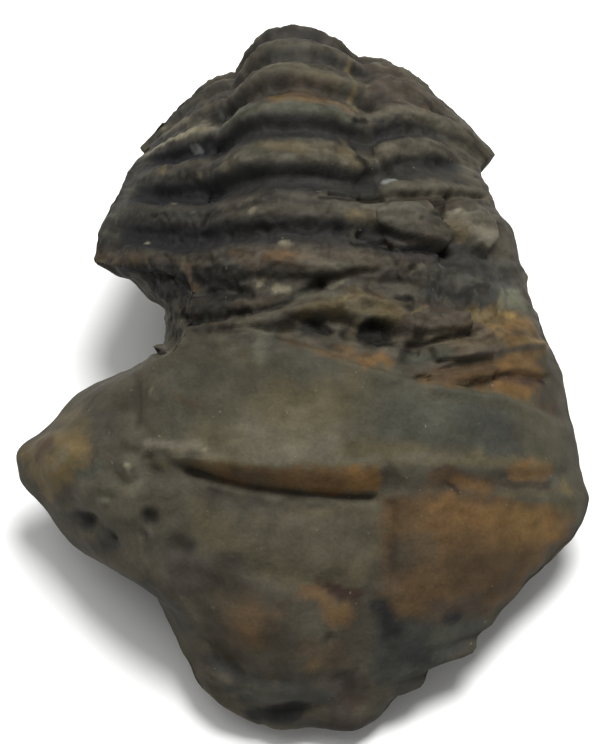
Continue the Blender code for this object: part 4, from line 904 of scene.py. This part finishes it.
def rock_noise(points, size, octaves, seed):
    """Smooth noise of about -1 to 1 on a grid of points, whose largest lumps measure about size."""
    places = points.reshape(-1, 3) / size + seed * SEED_STEP
    values = [noise.fractal(Vector(place), WEAKER, FINER, octaves) for place in places]
    return np.array(values).reshape(points.shape[:2])


def midline(along):
    """The midline's y, z and slope at each distance along it."""
    fine = np.linspace(0, BODY_END, MIDLINE_POINTS)
    slope = np.radians(smooth_table(SLOPE, fine))
    middle = (slope[1:] + slope[:-1]) / 2
    y = RIM_START[0] + np.concatenate([[0], np.cumsum(np.cos(middle))]) * fine[1]
    z = RIM_START[1] + np.concatenate([[0], np.cumsum(np.sin(middle))]) * fine[1]
    return np.interp(along, fine, y), np.interp(along, fine, z), np.interp(along, fine, slope)


def sided(left_table, right_table, along, around):
    """The left or the right table's value, by the side that each place is on."""
    return np.where(around < 0, smooth_table(left_table, along), smooth_table(right_table, along))


def across_at(along, around):
    """How far from the midline each place on the back lies."""
    furrow = sided(FURROW_LEFT, FURROW_RIGHT, along, around)
    reach = sided(REACH_LEFT, REACH_RIGHT, along, around)
    out = np.clip(np.abs(around) - 1, 0, 1)
    return np.sign(around) * np.where(
        np.abs(around) < 1, np.abs(around) * furrow, furrow + out * (reach - furrow)
    )


def bare_form(along, around):
    """The stone's smooth form, before its rings, ledges and lumps."""
    y, z, slope = midline(along)
    crest = sided(CREST_LEFT, CREST_RIGHT, along, around)
    crown = np.where(around < 0, PLEURAL_CROWN_LEFT, PLEURAL_CROWN_RIGHT)
    axial = np.clip(np.abs(around), 0, 1)
    out = np.clip(np.abs(around) - 1, 0, 1)
    drop = sided(DROP_LEFT, DROP_RIGHT, along, around)
    bend = sided(BEND_LEFT, BEND_RIGHT, along, around)
    rise = crest * ((1 - axial**2) ** smooth_table(LOBE_POWER, along) - 1)
    rise += crown * np.sin(math.pi * out ** smooth_table(CROWN_POWER, along)) - drop * out**bend
    sweep = sided(SWEEP_LEFT, SWEEP_RIGHT, along, around) * out**SWEEP_BEND
    back = np.stack([
        across_at(along, around),
        y - rise * np.sin(slope) + sweep * np.cos(slope),
        z + rise * np.cos(slope) + sweep * np.sin(slope),
    ], -1)

    foot_x = np.clip(around / MIDDLE_SHARE, -1, 1) * sided(FOOT_LEFT, FOOT_RIGHT, along, around)
    foot_y = smooth_table(FOOT_Y, along)
    down = np.clip(np.abs(around) - 2, 0, 1)
    under = np.clip(np.abs(around) - 3, 0, 1)
    inward = ease(*UNDERCUT, down)
    x = back[..., 0] + (foot_x - back[..., 0]) * inward
    low = FOOT_RISE - (FOOT_RISE + FOOT_DIP) * ease(*FOOT_RIM, under)
    return np.stack([
        x * (1 - under),
        back[..., 1] + (foot_y - back[..., 1]) * down,
        np.where(down < 1, back[..., 2] + (FOOT_RISE - back[..., 2]) * down, low),
    ], -1)


def ring_share(along, around):
    """Each place's share of the way through its ring or rib, and how deep the relief is there."""
    out = np.clip(np.abs(around) - 1, 0, 1)
    lobe = ease(*LOBE_EDGE, np.abs(around))
    count = range(len(RING_FURROWS))
    skewed = along - smooth_table(RIGHT_SKEW, along) * out
    pleural = np.where(
        around < 0, np.interp(along, LEFT_FURROWS, count), np.interp(skewed, RIGHT_FURROWS, count)
    )
    side = np.where(around < 0, LOBE_SKEW_LEFT, LOBE_SKEW_RIGHT)
    skew = side * np.clip(np.abs(around), 0, LOBE_EDGE[1]) ** 2
    ring = np.interp(along - skew, RING_FURROWS, count) * (1 - lobe) + pleural * lobe
    depth = smooth_table(AXIAL_RELIEF, along) * (1 - lobe)
    depth += sided(LEFT_RELIEF, RIGHT_RELIEF, along, around) * lobe
    fade = (1 - ease(*RELIEF_END, np.abs(around))) * (1 - TAIL_FADE * out * ease(*TAIL_RIBS, along))
    return ring - np.floor(ring), depth * fade


def ring_relief(along, around):
    """The thorax's rings: furrows, rings and ribs, in millimetres out from the form."""
    share, depth = ring_share(along, around)
    lobe = ease(*LOBE_EDGE, np.abs(around))
    profile = smooth_table(RING_PROFILE, share) * (1 - lobe)
    return depth * (profile + smooth_table(RIB_PROFILE, share) * lobe)


def outward_normals(points):
    """The direction out of the stone at each point of a grid of closed cross-sections."""
    along = np.gradient(points, axis=0)
    around = np.roll(points, -1, axis=1) - np.roll(points, 1, axis=1)
    normal = np.cross(around, along)
    return normal / np.maximum(np.linalg.norm(normal, axis=-1, keepdims=True), TINY)


def step_relief(along, across, foot, head_side, tail_side, fade):
    """A step across the back, which sinks back to the form on both sides of its face."""
    xs, places, runs = zip(*foot)
    beyond = along - np.interp(across, xs, places)
    over = ease(0, np.interp(across, xs, runs), beyond)
    return (head_side + (tail_side - head_side) * over) * np.exp(-np.abs(beyond) / fade)


def distance_to(along, across, start, end):
    """How far each place is from the straight line between two places."""
    run, over = end[0] - start[0], end[1] - start[1]
    t = ((along - start[0]) * run + (across - start[1]) * over) / max(run**2 + over**2, TINY)
    t = np.clip(t, 0, 1)
    return np.hypot(along - start[0] - t * run, across - start[1] - t * over)


def route_distance(along, across, route):
    """How far each place is from a route of one or more places."""
    nearest = np.full(along.shape, np.inf)
    for start, end in zip(route, route[1:] or route):
        nearest = np.minimum(nearest, distance_to(along, across, start, end))
    return nearest


def patch_relief(along, across, at, half, height, rim):
    """A raised or sunk oval patch."""
    reach = np.hypot((along - at[0]) / half[0], (across - at[1]) / half[1])
    return height * (1 - ease(1 - rim, 1, reach))


def signed_edge(along, across, outline):
    """How far inside a straight-sided outline each place is, negative outside."""
    inside = np.zeros(along.shape, bool)
    for (a0, x0), (a1, x1) in zip(outline, outline[1:] + outline[:1]):
        slant = (a1 - a0) / (x1 - x0) if x1 != x0 else 0.0
        inside ^= ((x0 > across) != (x1 > across)) & (along < a0 + slant * (across - x0))
    nearest = route_distance(along, across, outline + outline[:1])
    return np.where(inside, nearest, -nearest)


def plate_cover(along, across, outline, rim):
    """How far each place is covered by a flake or a hollow with a straight-sided outline."""
    return ease(0, rim, signed_edge(along, across, outline))


def line_relief(along, across, route, height, half_width):
    """A ridge or a crack along a route."""
    return height * np.exp(-((route_distance(along, across, route) / half_width) ** 2))


def broken_relief(along, around, rings):
    """The back's rings with its ledges, flakes, knobs, pits and cracks."""
    across = across_at(along, around)
    relief = rings
    for step, span in STEPS:
        relief = relief + step_relief(along, across, *step) * smooth_table(span, across)
    for outline, height, rim in PLATES:
        relief += (height - relief) * plate_cover(along, across, outline, rim)
    for patch in PATCHES:
        relief += patch_relief(along, across, *patch)
    for line in LINES:
        relief += line_relief(along, across, *line)
    back = 1 - ease(*BACK_END, np.abs(around))
    return rings + (relief - rings) * back


def lumps(points, along, around):
    """Uneven rock: slight on the back, rough where the rings are worn, and broken on the sides."""
    side = ease(*SIDE_START, np.abs(around))
    height = BACK_LUMPS + (WORN_LUMPS - BACK_LUMPS) * within(*WORN, along)
    height = height * (1 - side) + SIDE_LUMPS * side * ease(*SIDE_LUMPS_START, along)
    return rock_noise(points, *LUMP_NOISE) * height


def places():
    """The fine grid's distances along the body and places round it."""
    rows = [np.arange(start, end - gap / 2, gap) for start, end, gap in ROW_STRETCHES]
    rows = np.concatenate(rows + [[BODY_END]])
    right = [np.linspace(0, 1, AXIAL_FACES // 2 + 1)]
    for start, faces in enumerate((PLEURAL_FACES, SIDE_FACES, UNDER_FACES), 1):
        right.append(np.linspace(start, start + 1, faces + 1)[1:])
    right = np.concatenate(right)
    columns = np.concatenate([-right[:0:-1], right[:-1]])
    return np.meshgrid(rows, columns, indexing="ij")


def streaks(along, around):
    """The streaks along the rings, of about -1 to 1: clear on the thorax and faint on the head."""
    grid = np.stack([across_at(along, around) / STREAK_LENGTH, along, np.zeros_like(along)], -1)
    clear = HEAD_STREAKS + (1 - HEAD_STREAKS) * ease(*CRUMBLY, along)
    return rock_noise(grid, *STREAK_NOISE) * clear


def small_relief(points, along, around):
    """What the solid is too coarse for: chips, small pits, flaking layers and crumbs."""
    across = across_at(along, around)
    relief = np.zeros(along.shape)
    for patch in SMALL_PATCHES:
        relief += patch_relief(along, across, *patch)
    for line in SMALL_LINES:
        relief += line_relief(along, across, *line)
    relief *= 1 - ease(*BACK_END, np.abs(around))
    crumbly = ease(*CRUMBLY, along)
    worn = within(*WORN_GRAIN, along)
    edge = ease(*EDGE_START, np.abs(around))
    side = ease(*SIDE_START, np.abs(around))
    grain = GRAIN_HEIGHT + CRUMBLY_GRAIN * crumbly + WORN_GRAIN_HEIGHT * worn
    grain *= 1 - EDGE_SMOOTHING * edge
    layers = rock_noise(points, *LAYER_NOISE) * LAYERS
    flake = np.floor(layers) + ease(*LAYER_STEP, layers - np.floor(layers))
    terrace = (CRUMBLY_LAYERS * crumbly + WORN_LAYERS * worn) * (1 - edge) + SIDE_LAYERS * side
    fine = rock_noise(points, *CRUMB_NOISE) + FINEST_SHARE * rock_noise(points, *FINEST_NOISE)
    relief = relief + fine * grain + (flake - layers) * terrace
    return relief + STREAK_RELIEF * streaks(along, around)


def flaked(along, across):
    """Where a raised flake hides the furrows."""
    cover = np.zeros(along.shape)
    for outline, height, rim in PLATES:
        if height > 0:
            cover = np.maximum(cover, plate_cover(along, across, outline, rim))
    return cover


def seen_at(points):
    """Where the camera shows each point in its frame, and how far away it is."""
    from_eye = points - np.array(VIEW_AIM) - VIEW_DISTANCE * VIEW_BACK
    away = -from_eye @ VIEW_BACK
    x = FRAME_WIDTH / 2 + FOCAL_PIXELS * from_eye[..., 0] / away
    return x, FRAME_HEIGHT / 2 - FOCAL_PIXELS * (from_eye @ VIEW_UP) / away, away


def body_finder(form, along, across):
    """A function that carries a route in the camera's frame to (along, across) on the form."""
    seen = outward_normals(form) @ VIEW_BACK > 0
    x, y, away = (value[seen] for value in seen_at(form))
    along, across = along[seen], across[seen]

    def place(text):
        at_x, at_y = map(float, text.split(","))
        off = np.hypot(x - at_x, y - at_y)
        close = off < FINDER_REACH
        if not close.any():
            i = off.argmin()
            return along[i] + (y[i] - at_y) / PAST_EDGE[0], across[i] + (at_x - x[i]) / PAST_EDGE[1]
        in_front = away < away[close].min() + FINDER_DEPTH
        i = np.where(close & in_front, off, np.inf).argmin()
        return along[i], across[i]

    return lambda route: [place(text) for text in route.split()]


def covered(under, name, amount):
    """A tint with another one laid over it, as far as amount says at each point."""
    return under + (np.array(TINTS[name]) - under) * amount[..., None]


def furrow_dirt_and_shade(along, around, share, depth):
    """How much dark dirt and painted shade lie at each point: they fill the furrows and their
    walls, but not under raised flakes.
    """
    lobe = ease(*LOBE_EDGE, np.abs(around))
    ribs = np.where(around < 0, smooth_table(LEFT_DIRT_AND_SHADE, share), smooth_table(RIGHT_DIRT_AND_SHADE, share))
    dirt_and_shade = (smooth_table(LOBE_DIRT_AND_SHADE, share) * (1 - lobe) + ribs * lobe) * ease(*DIRT_AND_SHADE_DEPTH, depth)
    return dirt_and_shade * smooth_table(DIRT_AND_SHADE_SHARE, along) * (1 - flaked(along, across_at(along, around)))


def stained(points, along, around, share, depth):
    """The stone's tint at each point."""
    across = across_at(along, around)
    on_body = body_finder(points, along, across)
    astray = [
        STAIN_WANDER * rock_noise(points, *broad) + FINE_WANDER * rock_noise(points, *fine)
        for broad, fine in WANDER_NOISES
    ]

    def strayed(half_width, full_width):
        """The places as a mark of this half-width finds them: narrow marks keep their lines."""
        wander = min(1, half_width / full_width)
        return along + wander * astray[0], across + wander * astray[1]

    tint = np.tile(TINTS["taupe"], along.shape + (1,))
    for name, border, strength, outline in AREAS:
        soft = border / PIXELS_PER_MM
        edge = signed_edge(*strayed(soft, AREA_WANDER_FROM), on_body(outline))
        tint = covered(tint, name, strength * ease(-soft, soft, edge))
    tint *= 1 + STREAK_DEPTH * streaks(along, around)[..., None]
    blotch = rock_noise(points, *BLOTCH_NOISE)
    for name, sign, strength in BLOTCHES:
        amount = strength * ease(*CRUMBLY, along) * ease(*BLOTCH_EDGE, sign * blotch)
        tint = covered(tint, name, amount)
    tint = covered(tint, "underside", ease(*UNDERSIDE_START, np.abs(around)))
    # painted shade, mixed with dirt, darkens the furrows and their walls
    tint = covered(tint, "furrow", furrow_dirt_and_shade(along, around, share, depth))
    for name, half_width, strength, route in STAINS:
        nearest = route_distance(*strayed(half_width, WANDER_FROM), on_body(route))
        soft = max(STAIN_EDGE, STAIN_SOFTNESS * half_width)
        beyond = ease(half_width - soft, half_width + soft, nearest)
        tint = covered(tint, name, strength * (1 - beyond))
    return tint * DEPTH


def stone_mesh(points, tint):
    """The closed surface through a grid of points, which carries their tints."""
    rows, columns = points.shape[:2]
    index = np.arange(rows * columns).reshape(rows, columns)
    near, far = index[:-1], index[1:]
    faces = np.stack([near, np.roll(near, -1, 1), np.roll(far, -1, 1), far], -1).reshape(-1, 4)
    mesh = bpy.data.meshes.new("trilobite_stone")
    mesh.from_pydata(
        (points.reshape(-1, 3) * MM).tolist(), [],
        faces.tolist() + [index[0][::-1].tolist(), index[-1].tolist()],
    )
    colour = mesh.color_attributes.new("tint", "FLOAT_COLOR", "POINT")
    rgba = np.concatenate([tint.reshape(-1, 3), np.ones((rows * columns, 1))], 1)
    colour.data.foreach_set("color", rgba.ravel().astype(np.float32))
    mesh.validate()
    mesh.shade_smooth()
    return mesh


def node(tree, kind, **inputs):
    new = tree.nodes.new(kind)
    for name, value in inputs.items():
        new.inputs[name.replace("_", " ")].default_value = value
    return new


def stone_material():
    """Stone of each point's tint, with mottling, grain, pale specks and a fine bump."""
    material = bpy.data.materials.new("fossil stone")
    material.use_nodes = True
    tree = material.node_tree
    link = tree.links.new
    shader = tree.nodes["Principled BSDF"]
    shader.inputs["Specular IOR Level"].default_value = SPECULAR
    place = tree.nodes.new("ShaderNodeTexCoord").outputs["Object"]

    tint = tree.nodes.new("ShaderNodeAttribute")
    tint.attribute_name = "tint"

    def noise_at(scale, detail, roughness):
        texture = node(tree, "ShaderNodeTexNoise", Scale=scale, Detail=detail, Roughness=roughness)
        link(place, texture.inputs["Vector"])
        return texture.outputs["Fac"]

    def remap(value, span, to_span):
        mapped = node(
            tree, "ShaderNodeMapRange",
            From_Min=span[0], From_Max=span[1], To_Min=to_span[0], To_Max=to_span[1],
        )
        link(value, mapped.inputs["Value"])
        return mapped.outputs["Result"]

    def mixed(blend, factor, a, b):
        mix = tree.nodes.new("ShaderNodeMix")
        mix.data_type = "RGBA"
        mix.blend_type = blend
        for socket, value in (("Factor_Float", factor), ("A_Color", a), ("B_Color", b)):
            target = next(s for s in mix.inputs if s.identifier == socket)
            if hasattr(value, "is_output"):
                link(value, target)
            else:
                target.default_value = value
        return next(s for s in mix.outputs if s.identifier == "Result_Color")

    def bump(height, strength, distance):
        bumped = node(tree, "ShaderNodeBump", Strength=strength, Distance=distance)
        link(height, bumped.inputs["Height"])
        return bumped

    grain = noise_at(*GRAIN_NOISE)
    shade = tree.nodes.new("ShaderNodeMath")
    shade.operation = "MULTIPLY"
    link(remap(noise_at(*MOTTLE_NOISE), NOISE_SPAN, MOTTLE_SHADES), shade.inputs[0])
    link(remap(grain, NOISE_SPAN, GRAIN_SHADES), shade.inputs[1])
    shades = tree.nodes.new("ShaderNodeCombineColor")
    for channel in shades.inputs:
        link(shade.outputs[0], channel)
    colour = mixed("MULTIPLY", 1.0, tint.outputs["Color"], shades.outputs["Color"])
    speck = remap(noise_at(*SPECK_NOISE), SPECK_SPAN, (0.0, SPECK_SHARE))
    link(mixed("MIX", speck, colour, SPECK_COLOUR), shader.inputs["Base Color"])
    link(remap(grain, NOISE_SPAN, ROUGHNESS), shader.inputs["Roughness"])

    fine = bump(grain, *FINE_BUMP)
    coarse = bump(noise_at(*BUMP_NOISE), *COARSE_BUMP)
    link(coarse.outputs["Normal"], fine.inputs["Normal"])
    link(fine.outputs["Normal"], shader.inputs["Normal"])
    return material


def add_stone():
    along, around = places()
    form = bare_form(along, around)
    share, depth = ring_share(along, around)
    relief = broken_relief(along, around, ring_relief(along, around)) + lumps(form, along, around)
    relief += small_relief(form, along, around)
    points = form + outward_normals(form) * relief[..., None] - np.array([*BOX_MIDDLE, 0.0])
    points[..., 2] = np.maximum(points[..., 2], 0.0)
    mesh = stone_mesh(points, stained(form, along, around, share, depth))
    mesh.materials.append(stone_material())
    stone = bpy.data.objects.new("trilobite_stone", mesh)
    bpy.context.collection.objects.link(stone)
    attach(stone, "root")
    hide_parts(NODE)


def add_floor():
    bpy.ops.mesh.primitive_plane_add(size=FLOOR_SIZE)
    floor = bpy.context.object
    floor.name = "floor"
    material = bpy.data.materials.new("pale floor")
    material.use_nodes = True
    shader = material.node_tree.nodes["Principled BSDF"]
    shader.inputs["Base Color"].default_value = FLOOR_COLOUR
    shader.inputs["Roughness"].default_value = FLOOR_ROUGHNESS
    floor.data.materials.append(material)


def add_lights():
    world = bpy.data.worlds.new("studio")
    bpy.context.scene.world = world
    world.use_nodes = True
    background = world.node_tree.nodes["Background"]
    background.inputs["Color"].default_value = WORLD_COLOUR
    background.inputs["Strength"].default_value = WORLD_STRENGTH
    for name, at, size, power in LIGHTS:
        light = bpy.data.lights.new(name, "AREA")
        light.shape = "DISK"
        light.size = size
        light.energy = power
        lamp = bpy.data.objects.new(name, light)
        lamp.location = at
        lamp.rotation_euler = (Vector(LIGHT_AIM) - Vector(at)).to_track_quat("-Z", "Y").to_euler()
        bpy.context.collection.objects.link(lamp)


def add_camera():
    camera = bpy.data.cameras.new("camera")
    camera.sensor_width = SENSOR
    camera.lens = SENSOR * FOCAL_PIXELS / FRAME_HEIGHT
    camera.clip_start, camera.clip_end = VIEW_CLIP
    eye = bpy.data.objects.new("camera", camera)
    aim = np.array(VIEW_AIM) - np.array([*BOX_MIDDLE, 0.0])
    eye.location = (aim + VIEW_BACK * VIEW_DISTANCE) * MM
    eye.rotation_euler = (math.pi / 2 - VIEW_DOWN, 0.0, 0.0)
    bpy.context.collection.objects.link(eye)
    bpy.context.scene.camera = eye


add_stone()
add_floor()
add_lights()
add_camera()
bpy.context.scene.view_settings.view_transform = "Standard"
